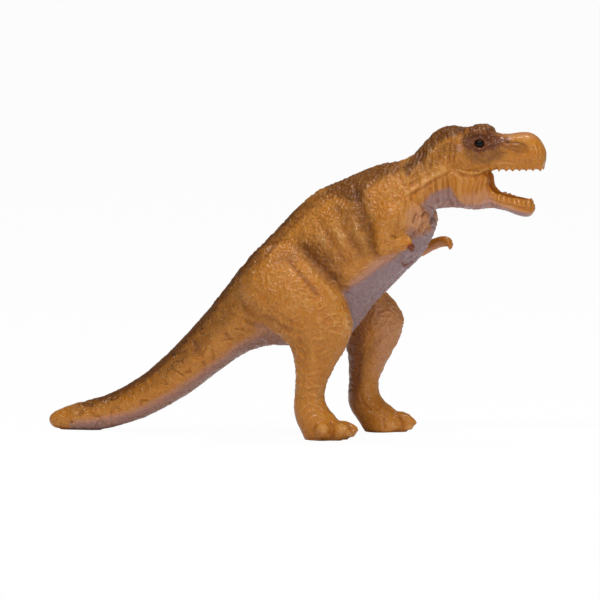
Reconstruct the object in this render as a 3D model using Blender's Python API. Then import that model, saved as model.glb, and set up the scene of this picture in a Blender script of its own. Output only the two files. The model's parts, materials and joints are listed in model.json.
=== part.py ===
"""Toy dinosaur figure: PVC sections that plug together on round spigots.

Metres, +Z up. The nose points along +X and the animal's left side along +Y. The origin is under the middle
of the figure, on the surface that it stands on. Places in the side view are shares of the figure's length,
counted from the tail tip, and of its height, counted from the soles.
"""

import math

import bmesh
import bpy
import numpy as np
from mathutils import Matrix, Vector

# Whole figure
length = 0.160
height = 0.0995
clearance = 0.0003

# Trunk: tail, body and neck
body_width = 0.034
tail_spigot_diameter = 0.0072
tail_spigot_depth = 0.005
neck_spigot_diameter = 0.0085
neck_spigot_depth = 0.005

# Head and lower jaw
head_width = 0.0175
brow_length = 0.0094
brow_height = 0.0056
brow_width = 0.0058
brow_spread = 0.0092
nostril_length = 0.0056
nostril_height = 0.0026
nostril_width = 0.0020
palate_width = 0.0066
throat_width = 0.0080
jaw_spigot_diameter = 0.0046
jaw_spigot_depth = 0.0036
tongue_width = 0.0050
tongue_height = 0.0019
upper_tooth_height = 0.00035
upper_tooth_width = 0.0015
lower_tooth_height = 0.0024
lower_tooth_width = 0.0013
lower_tooth_relief = 0.0003
front_tooth_height = 0.0008

# Eyes
eye_length = 0.0030
eye_height = 0.0021
eye_depth = 0.0018
eye_sink = 0.0004

# Legs and feet
stance = 0.030
step = 0.013
leg_width = 0.018
hip_spigot_diameter = 0.008
hip_spigot_depth = 0.0032
foot_length = 0.0176
toe_width = 0.0058
toe_height = 0.0064

# Arms and hands
shoulder_sink = 0.0032
elbow_stand = 0.0037
hand_stand = 0.0004
shoulder_spread = body_width - 2 * shoulder_sink
elbow_spread = shoulder_spread + 2 * elbow_stand
hand_spread = shoulder_spread + 2 * hand_stand
arm_thickness = 0.0066
finger_length = 0.0024
finger_thickness = 0.0019
finger_gap = 0.0022
shoulder_spigot_diameter = 0.0044
shoulder_spigot_depth = 0.0034

# Corner steps of the rings, per piece
trunk_corners = 22
head_corners = 20
leg_corners = 18
arm_corners = 12
spigot_corners = 14
spigot_lead_share = 0.125
tooth_corners = 6
finger_corners = 8
nostril_corners = 10
nostril_rows = 6
toe_steps = 1
ball_corners = 12
ball_rows = 8
ring_steps = 2
edge_angle = 40
reach_limit = 1.6

# Upper outline x and z, lower outline x and z, half width: shares of length, height and half the body width
trunk_shares = (
    (0.001, 0.036, 0.001, 0.026, 0.04),
    (0.004, 0.047, 0.004, 0.016, 0.10),
    (0.013, 0.058, 0.011, 0.006, 0.16),
    (0.032, 0.072, 0.030, 0.001, 0.22),
    (0.060, 0.087, 0.062, 0.000, 0.27),
    (0.096, 0.103, 0.106, 0.002, 0.31),
    (0.127, 0.121, 0.147, 0.017, 0.34),
    (0.165, 0.154, 0.195, 0.044, 0.38),
    (0.203, 0.196, 0.241, 0.082, 0.42),
    (0.239, 0.247, 0.285, 0.125, 0.47),
    (0.272, 0.302, 0.327, 0.176, 0.53),
    (0.304, 0.358, 0.367, 0.223, 0.60),
    (0.334, 0.416, 0.407, 0.263, 0.68),
    (0.363, 0.473, 0.452, 0.284, 0.76),
    (0.406, 0.562, 0.512, 0.281, 0.85),
    (0.457, 0.645, 0.566, 0.284, 0.93),
    (0.506, 0.727, 0.608, 0.318, 0.98),
    (0.546, 0.778, 0.641, 0.392, 1.00),
    (0.586, 0.806, 0.677, 0.458, 1.00),
    (0.622, 0.833, 0.713, 0.515, 0.98),
    (0.659, 0.857, 0.749, 0.573, 0.94),
    (0.691, 0.869, 0.769, 0.631, 0.86),
    (0.713, 0.878, 0.778, 0.679, 0.75),
    (0.731, 0.890, 0.770, 0.714, 0.65),
    (0.745, 0.910, 0.787, 0.728, 0.59),
    (0.759, 0.937, 0.800, 0.730, 0.55),
    (0.779, 0.969, 0.811, 0.730, 0.52),
    (0.802, 0.989, 0.819, 0.731, 0.51),
)
trunk_egg_share = 0.10

# Where the trunk is parted: a point on the back and one on the belly side of each part line
tail_part_shares = ((0.334, 0.416), (0.407, 0.263))
neck_part_shares = ((0.722, 0.884), (0.7775, 0.701))

# x, upper and lower z, half width: shares of length, height and half the head width
skull_shares = (
    (0.791, 0.973, 0.856, 0.70),
    (0.811, 0.990, 0.844, 0.89),
    (0.829, 0.985, 0.839, 0.98),
    (0.851, 0.985, 0.838, 1.00),
    (0.871, 0.984, 0.841, 0.96),
    (0.888, 0.978, 0.847, 0.87),
    (0.904, 0.967, 0.850, 0.76),
    (0.924, 0.966, 0.850, 0.68),
    (0.944, 0.972, 0.851, 0.63),
    (0.964, 0.973, 0.852, 0.60),
    (0.980, 0.962, 0.854, 0.55),
    (0.989, 0.947, 0.856, 0.47),
    (0.995, 0.931, 0.864, 0.34),
    (1.000, 0.912, 0.884, 0.15),
)
jaw_shares = (
    (0.820, 0.870, 0.731, 0.92),
    (0.833, 0.872, 0.732, 0.93),
    (0.851, 0.872, 0.727, 0.91),
    (0.867, 0.871, 0.727, 0.85),
    (0.880, 0.867, 0.730, 0.75),
    (0.888, 0.850, 0.732, 0.67),
    (0.892, 0.814, 0.733, 0.62),
    (0.897, 0.794, 0.733, 0.59),
    (0.909, 0.782, 0.730, 0.56),
    (0.921, 0.775, 0.725, 0.54),
    (0.937, 0.770, 0.714, 0.52),
    (0.951, 0.767, 0.707, 0.49),
    (0.963, 0.761, 0.704, 0.43),
    (0.971, 0.753, 0.710, 0.33),
    (0.977, 0.744, 0.725, 0.16),
)
jaw_inner_shares = (
    (0.866, 0.836, 0.792, 0.30),
    (0.872, 0.846, 0.776, 0.80),
    (0.886, 0.862, 0.764, 1.00),
    (0.900, 0.868, 0.753, 0.98),
    (0.924, 0.868, 0.745, 0.86),
    (0.946, 0.868, 0.740, 0.76),
    (0.962, 0.868, 0.743, 0.54),
    (0.970, 0.868, 0.752, 0.22),
)
palate_shares = (
    (0.866, 0.858, 0.800, 0.80),
    (0.884, 0.872, 0.800, 1.00),
    (0.910, 0.877, 0.800, 1.00),
    (0.940, 0.875, 0.800, 0.92),
    (0.966, 0.868, 0.800, 0.74),
    (0.980, 0.858, 0.800, 0.40),
)
head_square = 2.7
tongue_share = (0.915, 0.752)
tongue_length_share = 0.072
tongue_tilt = 0.08
brow_share = (0.865, 0.965)
nostril_share = (0.955, 0.938)
nostril_sink_share = 0.35
eye_share = (0.876, 0.940)
jaw_spigot_share = (0.848, 0.868)
upper_tooth_row_shares = (0.900, 0.992)
upper_tooth_count = 8
upper_lip_share = 0.854
tooth_root_share = 0.020
upper_tooth_inset_share = 0.75
lower_tooth_inset_share = 0.85
lower_tooth_lean_share = 0.35
lower_tooth_rise_share = 0.92
# Along a tooth, its width: shares of the tooth's height and width
tooth_form_shares = ((0.0, 1.0), (0.6, 0.84), (1.0, 0.40))
lower_tooth_row_shares = (0.914, 0.958)
lower_tooth_count = 5
front_tooth_share = 0.969

# Front x and z, back x and z, side place, half width, swing: shares of length, height, half the stance,
# half the leg width and the step
leg_shares = (
    (0.478, 0.622, 0.452, 0.612, 0.88, 0.14, 0.00),
    (0.500, 0.608, 0.434, 0.584, 0.90, 0.38, 0.03),
    (0.534, 0.568, 0.412, 0.526, 0.95, 0.68, 0.12),
    (0.572, 0.516, 0.404, 0.462, 1.00, 0.90, 0.30),
    (0.606, 0.460, 0.424, 0.398, 1.00, 1.00, 0.50),
    (0.626, 0.408, 0.468, 0.345, 1.00, 0.99, 0.66),
    (0.632, 0.352, 0.505, 0.296, 1.00, 0.88, 0.78),
    (0.612, 0.276, 0.515, 0.244, 1.00, 0.74, 0.84),
    (0.588, 0.209, 0.517, 0.193, 1.00, 0.63, 0.85),
    (0.575, 0.154, 0.516, 0.146, 1.00, 0.58, 0.85),
    (0.577, 0.117, 0.514, 0.100, 1.00, 0.59, 0.86),
    (0.586, 0.091, 0.518, 0.062, 1.00, 0.64, 0.90),
    (0.603, 0.063, 0.527, 0.030, 1.00, 0.68, 0.96),
    (0.606, 0.000, 0.536, 0.000, 1.00, 0.66, 1.00),
    (0.604, -0.012, 0.538, -0.012, 1.00, 0.64, 1.00),
)
hip_share = (0.520, 0.480)
hip_root_share = 0.33
ankle_share = 0.561

# Toes: angle outwards from straight ahead in degrees, and length in shares of the foot length
toe_shares = ((-5, 0.755), (23, 0.715), (62, 0.520))
# Along the toe, upper z, lower z, half width: shares of its length, the toe height and half the toe width
toe_form_shares = (
    (0.00, 1.00, -0.15, 1.00),
    (0.30, 0.98, -0.15, 1.06),
    (0.56, 0.96, -0.15, 1.02),
    (0.73, 0.90, 0.00, 0.92),
    (0.85, 0.77, 0.24, 0.70),
    (0.95, 0.60, 0.34, 0.38),
    (1.00, 0.50, 0.41, 0.10),
)

# x and z of the middle line, side place from shoulder 0 over elbow 1 to hand 2, thickness
right_upper_arm_shares = (
    (0.714, 0.752, 0.0, 0.50),
    (0.710, 0.738, 0.0, 1.00),
    (0.704, 0.706, 0.2, 1.26),
    (0.697, 0.668, 0.5, 1.12),
    (0.692, 0.636, 0.9, 0.88),
    (0.690, 0.616, 1.0, 0.60),
    (0.689, 0.608, 1.0, 0.30),
)
right_forearm_shares = (
    (0.681, 0.615, 1.0, 0.32),
    (0.685, 0.616, 1.0, 0.62),
    (0.694, 0.617, 1.0, 0.82),
    (0.711, 0.615, 1.2, 0.72),
    (0.727, 0.620, 1.6, 0.60),
    (0.738, 0.625, 1.9, 0.60),
    (0.745, 0.623, 2.0, 0.50),
    (0.749, 0.621, 2.0, 0.26),
)
left_upper_arm_shares = (
    (0.716, 0.752, 0.0, 0.50),
    (0.713, 0.738, 0.0, 1.00),
    (0.709, 0.704, 0.2, 1.26),
    (0.704, 0.656, 0.5, 1.12),
    (0.701, 0.608, 0.9, 0.88),
    (0.700, 0.582, 1.0, 0.60),
    (0.700, 0.573, 1.0, 0.30),
)
left_forearm_shares = (
    (0.692, 0.574, 1.0, 0.32),
    (0.697, 0.575, 1.0, 0.62),
    (0.706, 0.576, 1.0, 0.82),
    (0.728, 0.580, 1.2, 0.72),
    (0.752, 0.596, 1.6, 0.56),
    (0.772, 0.607, 1.9, 0.54),
    (0.785, 0.607, 2.0, 0.50),
    (0.792, 0.603, 2.0, 0.28),
)
shoulder_share = (0.706, 0.700)
finger_bend_share = 0.35
finger_joint_share = 0.45
finger_end_shares = (0.86, 0.40)
shoulder_root_share = 0.083

# Ejector mark on the chest: place, side and size
mark_share = (0.731, 0.563)
mark_diameter = 0.0040
mark_rim = 0.0004
mark_side_share = -0.36
mark_direction = (0.80, -0.42, -0.42)

# Colours
ochre = (0.479, 0.202, 0.030)
dark_ochre = (0.400, 0.160, 0.024)
black = (0.008, 0.007, 0.010)
pvc_roughness = 0.42
gloss_roughness = 0.08


def empty_scene():
    for item in list(bpy.data.objects):
        bpy.data.objects.remove(item, do_unlink=True)


def side(x_share, z_share, y=0.0):
    """A place in the side view, from shares of the length and the height."""
    return Vector(((x_share - 0.5) * length, y, z_share * height))


def make_material(name, colour, roughness):
    material = bpy.data.materials.new(name)
    material.use_nodes = True
    shader = material.node_tree.nodes["Principled BSDF"]
    shader.inputs["Base Color"].default_value = (*colour, 1.0)
    shader.inputs["Roughness"].default_value = roughness
    shader.inputs["Metallic"].default_value = 0.0
    material.diffuse_color = (*colour, 1.0)
    return material


def object_from(name, body):
    mesh = bpy.data.meshes.new(name)
    bmesh.ops.recalc_face_normals(body, faces=body.faces)
    body.to_mesh(mesh)
    body.free()
    item = bpy.data.objects.new(name, mesh)
    bpy.context.collection.objects.link(item)
    return item


def through(rows, steps):
    """A smooth curve through rows of numbers, with steps between each two."""
    rows = np.array(rows, float)
    padded = np.vstack([2 * rows[0] - rows[1], rows, 2 * rows[-1] - rows[-2]])
    found = []
    for before, start, end, after in zip(padded, padded[1:], padded[2:], padded[3:]):
        for number in range(steps):
            t = number / steps
            pull = (end - before) * t + (2 * before - 5 * start + 4 * end - after) * t * t
            turn = (3 * start - before - 3 * end + after) * t**3
            found.append((2 * start + pull + turn) / 2)
    found.append(rows[-1])
    return np.array(found)


def ring_between(upper, lower, half_width, corners, egg=0.0, square=2.0):
    """An oval ring through an upper and a lower point, fuller below the middle by the egg share.

    A square of 2 gives an ellipse, and a larger one a boxier ring.
    """
    middle = (upper + lower) / 2
    reach = (upper - lower) / 2
    across = Vector((0, 1, 0))
    points = []
    for number in range(corners):
        angle = math.tau * number / corners
        level = math.copysign(abs(math.cos(angle)) ** (2 / square), math.cos(angle))
        spread = math.copysign(abs(math.sin(angle)) ** (2 / square), math.sin(angle))
        points.append(middle + reach * level + across * (half_width * (1 - egg * level) * spread))
    return points


def loft(name, rings):
    """A closed body over a row of rings, with flat ends."""
    body = bmesh.new()
    rows = [[body.verts.new(point) for point in ring] for ring in rings]
    count = len(rows[0])
    for first, second in zip(rows, rows[1:]):
        for number in range(count):
            after = (number + 1) % count
            body.faces.new((first[number], first[after], second[after], second[number]))
    body.faces.new(rows[0])
    body.faces.new(rows[-1])
    return object_from(name, body)


def outline_loft(name, shares, corners, width, square=2.0):
    """A loft over rows of x, upper z, lower z and half width in the side view."""
    rings = []
    for x_share, upper, lower, wide in through(shares, ring_steps):
        upper_point = side(x_share, upper)
        lower_point = side(x_share, lower)
        rings.append(ring_between(upper_point, lower_point, wide * width / 2, corners, square=square))
    return loft(name, rings)


def ellipsoid(name, centre, size, around=ball_corners, along=ball_rows, tilt=0.0):
    body = bmesh.new()
    bmesh.ops.create_uvsphere(body, u_segments=around, v_segments=along, radius=0.5)
    place = Matrix.Translation(centre) @ Matrix.Rotation(tilt, 4, "Y") @ Matrix.Diagonal((*size, 1.0))
    bmesh.ops.transform(body, matrix=place, verts=body.verts)
    return object_from(name, body)


def spigot(name, base, direction, diameter, depth, root):
    """A round peg with a lead-in at its end, rooted inside the piece that carries it."""
    axis = direction.normalized()
    turn = axis.to_track_quat("Z", "Y")
    lead = diameter * spigot_lead_share
    profile = ((-root, diameter / 2), (depth - lead, diameter / 2), (depth, diameter / 2 - lead))
    rings = []
    for along, radius in profile:
        ring = []
        for number in range(spigot_corners):
            angle = math.tau * number / spigot_corners
            ring.append(base + turn @ Vector((radius * math.cos(angle), radius * math.sin(angle), along)))
        rings.append(ring)
    return loft(name, rings)


def grown(item, amount):
    """A copy of an object whose whole surface lies further out."""
    body = bmesh.new()
    body.from_mesh(item.data)
    body.normal_update()
    moves = [vertex.normal * amount * min(vertex.calc_shell_factor(), reach_limit) for vertex in body.verts]
    for vertex, move in zip(body.verts, moves):
        vertex.co += move
    mesh = bpy.data.meshes.new(item.name + "_grown")
    body.to_mesh(mesh)
    body.free()
    copy = bpy.data.objects.new(mesh.name, mesh)
    bpy.context.collection.objects.link(copy)
    return copy


def combine(item, tool, operation, solver="EXACT"):
    """Applies a Boolean to an object and removes the other one."""
    modifier = item.modifiers.new("Shape", "BOOLEAN")
    modifier.operation = operation
    modifier.solver = solver
    modifier.object = tool
    bpy.context.view_layer.update()
    seen = item.evaluated_get(bpy.context.evaluated_depsgraph_get())
    mesh = bpy.data.meshes.new_from_object(seen)
    item.modifiers.clear()
    old = item.data
    item.data = mesh
    bpy.data.meshes.remove(old)
    bpy.data.objects.remove(tool, do_unlink=True)


def part_plane(shares):
    """The middle and the forward normal of a part line's plane."""
    upper, lower = (side(*share) for share in shares)
    run = (upper - lower).normalized()
    normal = Vector((run.z, 0.0, -run.x))
    return (upper + lower) / 2, normal


def keep_side(item, point, normal):
    """Cuts an object at a plane, closes the cut and keeps what lies along the normal."""
    body = bmesh.new()
    body.from_mesh(item.data)
    cut = bmesh.ops.bisect_plane(
        body,
        geom=body.verts[:] + body.edges[:] + body.faces[:],
        plane_co=point,
        plane_no=normal,
        clear_inner=True,
    )
    edges = [edge for edge in cut["geom_cut"] if isinstance(edge, bmesh.types.BMEdge)]
    bmesh.ops.contextual_create(body, geom=edges)
    body.to_mesh(item.data)
    body.free()


def copy_of(item, name):
    copy = bpy.data.objects.new(name, item.data.copy())
    bpy.context.collection.objects.link(copy)
    return copy


def make_trunk():
    """Tail, body and neck in one smooth run, before it is parted."""
    rings = []
    for upper_x, upper_z, lower_x, lower_z, wide in through(trunk_shares, ring_steps):
        upper = side(upper_x, upper_z)
        lower = side(lower_x, max(lower_z, 0.0))
        rings.append(ring_between(upper, lower, wide * body_width / 2, trunk_corners, trunk_egg_share))
    return loft("trunk", rings)


def make_tail(trunk):
    item = copy_of(trunk, "tail")
    middle, forward = part_plane(tail_part_shares)
    keep_side(item, middle - forward * clearance / 2, -forward)
    base = middle - forward * clearance / 2
    peg = (base, forward, tail_spigot_diameter, tail_spigot_depth, tail_spigot_depth)
    combine(item, spigot("tail_peg", *peg), "UNION")
    return item, peg


def make_torso(trunk):
    item = copy_of(trunk, "torso")
    middle, forward = part_plane(tail_part_shares)
    keep_side(item, middle + forward * clearance / 2, forward)
    middle, forward = part_plane(neck_part_shares)
    keep_side(item, middle - forward * clearance / 2, -forward)
    return item


def cut_socket(item, peg):
    tool = spigot("socket", *peg)
    wider = grown(tool, clearance)
    bpy.data.objects.remove(tool, do_unlink=True)
    combine(item, wider, "DIFFERENCE")


def tooth(body, base, tip, width):
    """Adds a blunt pointed tooth to a mesh in the making."""
    axis = (tip - base).normalized()
    turn = axis.to_track_quat("Z", "Y")
    reach = (tip - base).length
    rows = []
    for along, share in tooth_form_shares:
        row = []
        for number in range(tooth_corners):
            angle = math.tau * number / tooth_corners
            radius = width * share / 2
            offset = Vector((radius * math.cos(angle), radius * math.sin(angle), reach * along))
            row.append(body.verts.new(base + turn @ offset))
        rows.append(row)
    for first, second in zip(rows, rows[1:]):
        for number in range(tooth_corners):
            after = (number + 1) % tooth_corners
            body.faces.new((first[number], first[after], second[after], second[number]))
    body.faces.new(rows[0])
    body.faces.new(rows[-1])


def half_width_at(shares, x_share, width):
    rows = np.array(shares)
    return float(np.interp(x_share, rows[:, 0], rows[:, 3])) * width / 2


def skull_side_at(x_share, z_share):
    """How far the skull's side lies from the middle plane at a place in the side view."""
    rows = np.array(skull_shares)
    upper = float(np.interp(x_share, rows[:, 0], rows[:, 1]))
    lower = float(np.interp(x_share, rows[:, 0], rows[:, 2]))
    level = abs(2 * z_share - upper - lower) / (upper - lower)
    widest = half_width_at(skull_shares, x_share, head_width)
    return widest * (1 - level**head_square) ** (1 / head_square)


def make_upper_teeth():
    """Both upper rows: blunt nubs along the lip."""
    body = bmesh.new()
    first, last = upper_tooth_row_shares
    for number in range(upper_tooth_count):
        x_share = first + (last - first) * number / (upper_tooth_count - 1)
        rim_width = half_width_at(skull_shares, x_share, head_width)
        inset = rim_width - upper_tooth_width * upper_tooth_inset_share
        for hand in (-1, 1):
            base = side(x_share, upper_lip_share + tooth_root_share, hand * inset)
            tip = side(x_share, upper_lip_share, hand * inset) - Vector((0, 0, upper_tooth_height))
            tooth(body, base, tip, upper_tooth_width)
    return object_from("upper_teeth", body)


def make_lower_teeth():
    """Both lower rows, moulded as ribs on the jaw's sides, and the two upright teeth at the chin."""
    body = bmesh.new()
    rows = np.array(jaw_shares)
    first, last = lower_tooth_row_shares
    for number in range(lower_tooth_count):
        x_share = first + (last - first) * number / (lower_tooth_count - 1)
        rim = float(np.interp(x_share, rows[:, 0], rows[:, 1])) * height
        wall = half_width_at(jaw_shares, x_share, head_width)
        foot = wall + lower_tooth_relief - lower_tooth_width / 2
        lean = lower_tooth_width * lower_tooth_lean_share
        for hand in (-1, 1):
            base = Vector(((x_share - 0.5) * length, hand * foot, rim - lower_tooth_height))
            tip = base + Vector((0, -hand * lean, lower_tooth_height * lower_tooth_rise_share))
            tooth(body, base, tip, lower_tooth_width)
    rim = float(np.interp(front_tooth_share, rows[:, 0], rows[:, 1]))
    wall = half_width_at(jaw_shares, front_tooth_share, head_width)
    for hand in (-1, 1):
        across = hand * (wall - lower_tooth_width * lower_tooth_inset_share)
        base = side(front_tooth_share, rim - tooth_root_share, across)
        tip = side(front_tooth_share, rim, across) + Vector((0, 0, front_tooth_height))
        tooth(body, base, tip, lower_tooth_width)
    return object_from("lower_teeth", body)


def make_head(trunk):
    item = copy_of(trunk, "head")
    middle, forward = part_plane(neck_part_shares)
    base = middle + forward * clearance / 2
    keep_side(item, base, forward)
    combine(item, outline_loft("skull", skull_shares, head_corners, head_width, head_square), "UNION")
    for hand in (-1, 1):
        brow = side(*brow_share, hand * brow_spread / 2)
        combine(item, ellipsoid("brow", brow, (brow_length, brow_width, brow_height)), "UNION")
        across = skull_side_at(*nostril_share) - nostril_width * nostril_sink_share
        sizes = (nostril_length, nostril_width, nostril_height)
        nostril = side(*nostril_share, hand * across)
        combine(item, ellipsoid("nostril", nostril, sizes, nostril_corners, nostril_rows), "UNION")
    combine(item, outline_loft("palate", palate_shares, arm_corners, palate_width), "DIFFERENCE")
    combine(item, make_upper_teeth(), "UNION")
    peg = (base, -forward, neck_spigot_diameter, neck_spigot_depth, neck_spigot_depth)
    combine(item, spigot("neck_peg", *peg), "UNION")
    return item, peg


def make_lower_jaw():
    """The jaw block under the cheek, the open jaw with its two tooth rows, and the tongue."""
    item = outline_loft("lower_jaw", jaw_shares, head_corners, head_width, head_square)
    skull = outline_loft("skull", skull_shares, head_corners, head_width, head_square)
    over = grown(skull, clearance)
    bpy.data.objects.remove(skull, do_unlink=True)
    combine(item, over, "DIFFERENCE")
    combine(item, outline_loft("mouth", jaw_inner_shares, arm_corners, throat_width), "DIFFERENCE")
    tongue_size = (tongue_length_share * length, tongue_width, tongue_height)
    combine(item, ellipsoid("tongue", side(*tongue_share), tongue_size, tilt=tongue_tilt), "UNION")
    combine(item, make_lower_teeth(), "UNION")
    base = side(*jaw_spigot_share) - Vector((0, 0, jaw_spigot_depth))
    peg = (base, Vector((0, 0, 1)), jaw_spigot_diameter, 2 * jaw_spigot_depth, jaw_spigot_depth)
    combine(item, spigot("jaw_peg", *peg), "UNION")
    return item, peg


def make_eye(name, hand):
    across = skull_side_at(*eye_share) - eye_sink
    return ellipsoid(name, side(*eye_share, hand * across), (eye_length, eye_depth, eye_height))


def make_toe(hand, ankle, angle, toe_length):
    """One toe: a low oval that runs out from the ankle and narrows to its claw."""
    outwards = math.radians(angle)
    along = Vector((math.cos(outwards), hand * math.sin(outwards), 0))
    across = Vector((-along.y, along.x, 0))
    rings = []
    for run, upper, lower, wide in through(toe_form_shares, toe_steps):
        middle = ankle + along * (run * toe_length) + Vector((0, 0, (upper + lower) / 2 * toe_height))
        rise = Vector((0, 0, (upper - lower) / 2 * toe_height))
        half = wide * toe_width / 2
        ring = []
        for number in range(arm_corners):
            turn = math.tau * number / arm_corners
            ring.append(middle + rise * math.cos(turn) + across * (half * math.sin(turn)))
        rings.append(ring)
    return loft("toe", rings)


def make_leg(name, hand, swing):
    """Thigh, shank and three-toed foot, with a peg for the hip; swing sets the foot forward."""
    rings = []
    for front_x, front_z, back_x, back_z, place, wide, forward in through(leg_shares, ring_steps):
        shift = Vector((forward * swing, hand * place * stance / 2, 0))
        front = side(front_x, front_z) + shift
        back = side(back_x, back_z) + shift
        rings.append(ring_between(front, back, wide * leg_width / 2, leg_corners))
    item = loft(name, rings)
    ankle = side(ankle_share, 0.0, hand * stance / 2) + Vector((swing, 0, 0))
    for angle, share in toe_shares:
        combine(item, make_toe(hand, ankle, angle, share * foot_length), "UNION")
    keep_side(item, Vector((0, 0, 0)), Vector((0, 0, 1)))
    seat = (stance - leg_width) / 2
    base = side(*hip_share, hand * seat)
    inwards = Vector((0, -hand, 0))
    peg = (base, inwards, hip_spigot_diameter, hip_spigot_depth, leg_width * hip_root_share)
    combine(item, spigot("hip_peg", *peg), "UNION")
    return item


def arm_side(share):
    spreads = (shoulder_spread / 2, elbow_spread / 2, hand_spread / 2)
    return float(np.interp(share, (0, 1, 2), spreads))


def tube(name, points, radii, corners):
    """A round limb along a row of points, each with its own radius."""
    rings = []
    for number, point in enumerate(points):
        before = points[max(number - 1, 0)]
        after = points[min(number + 1, len(points) - 1)]
        turn = (after - before).normalized().to_track_quat("Z", "Y")
        ring = []
        for corner in range(corners):
            angle = math.tau * corner / corners
            ring.append(point + turn @ Vector((math.cos(angle), math.sin(angle), 0)) * radii[number])
        rings.append(ring)
    return loft(name, rings)


def make_limb(name, hand, shares):
    points = []
    radii = []
    for x_share, z_share, place, thick in through(shares, ring_steps):
        points.append(side(x_share, z_share, hand * arm_side(place)))
        radii.append(thick * arm_thickness / 2)
    return tube(name, points, radii, arm_corners)


def make_arm(name, hand, upper_shares, shares):
    """Shoulder, bent arm and two fingers with blunt claws, with a peg for the shoulder."""
    item = make_limb(name, hand, upper_shares)
    combine(item, make_limb("forearm", hand, shares), "UNION")
    knuckle = side(shares[-2][0], shares[-2][1], hand * hand_spread / 2)
    radius = finger_thickness / 2
    sizes = (radius, *(radius * share for share in finger_end_shares))
    bend = finger_length * finger_bend_share
    for offset in (-finger_gap / 2, finger_gap / 2):
        root = knuckle + Vector((0, offset, 0))
        middle = root + Vector((bend, 0, -finger_length * finger_joint_share))
        end = root + Vector((bend, 0, -finger_length))
        combine(item, tube("finger", (root, middle, end), sizes, finger_corners), "UNION")
    base = side(*shoulder_share, hand * shoulder_spread / 2)
    inwards = Vector((0, -hand, 0))
    root = shoulder_spread * shoulder_root_share
    depth = arm_thickness / 2 + shoulder_spigot_depth
    peg = (base, inwards, shoulder_spigot_diameter, depth, root)
    combine(item, spigot("shoulder_peg", *peg), "UNION")
    return item


def press_mark(torso):
    """The shallow round mark that an ejector pin leaves on the chest."""
    middle = side(*mark_share, mark_side_share * body_width / 2)
    outwards = Vector(mark_direction).normalized()
    tool = spigot("mark", middle + outwards * mark_rim, outwards, mark_diameter, mark_rim * 4, mark_rim * 2)
    combine(torso, tool, "DIFFERENCE")


def drop_crumbs(item):
    """Keeps an object's largest body and drops crumbs that cuts leave between close pieces."""
    body = bmesh.new()
    body.from_mesh(item.data)
    left = set(body.verts)
    groups = []
    while left:
        queue = [left.pop()]
        group = list(queue)
        while queue:
            for edge in queue.pop().link_edges:
                for vertex in edge.verts:
                    if vertex in left:
                        left.remove(vertex)
                        queue.append(vertex)
                        group.append(vertex)
        groups.append(group)
    groups.sort(key=len)
    for group in groups[:-1]:
        bmesh.ops.delete(body, geom=group, context="VERTS")
    body.to_mesh(item.data)
    body.free()


def seat(host, piece, solver="EXACT"):
    """Cuts the pocket in which a plugged-in piece sits, wider by the clearance."""
    combine(host, grown(piece, clearance), "DIFFERENCE", solver)


def finish(item, material):
    item.data.materials.clear()
    item.data.materials.append(material)
    item.data.shade_smooth()
    item.data.set_sharp_from_angle(angle=math.radians(edge_angle))


def build():
    empty_scene()
    skin = make_material("ochre_pvc", ochre, pvc_roughness)
    limb_skin = make_material("ochre_pvc_limbs", dark_ochre, pvc_roughness)
    gloss = make_material("black_gloss", black, gloss_roughness)

    trunk = make_trunk()
    tail, tail_peg = make_tail(trunk)
    torso = make_torso(trunk)
    head, neck_peg = make_head(trunk)
    bpy.data.objects.remove(trunk, do_unlink=True)
    cut_socket(torso, tail_peg)
    cut_socket(torso, neck_peg)

    lower_jaw, jaw_peg = make_lower_jaw()
    cut_socket(head, jaw_peg)

    legs = [make_leg("right_leg", -1, 0.0), make_leg("left_leg", 1, step)]
    arms = [
        make_arm("right_arm", -1, right_upper_arm_shares, right_forearm_shares),
        make_arm("left_arm", 1, left_upper_arm_shares, left_forearm_shares),
    ]
    for piece in legs + arms:
        seat(torso, piece, "MANIFOLD")
    press_mark(torso)
    drop_crumbs(torso)

    eyes = [make_eye("right_eye", -1), make_eye("left_eye", 1)]
    for piece in eyes:
        seat(head, piece)

    for piece in (torso, head, lower_jaw, tail):
        finish(piece, skin)
    for piece in legs + arms:
        finish(piece, limb_skin)
    for piece in eyes:
        finish(piece, gloss)


build()
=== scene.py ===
import json
import math

import bmesh
import bpy
import numpy as np
from bpy.props import FloatProperty, FloatVectorProperty, IntProperty, PointerProperty
from mathutils import Matrix, Vector
from mathutils.bvhtree import BVHTree
from mathutils.kdtree import KDTree

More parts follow.
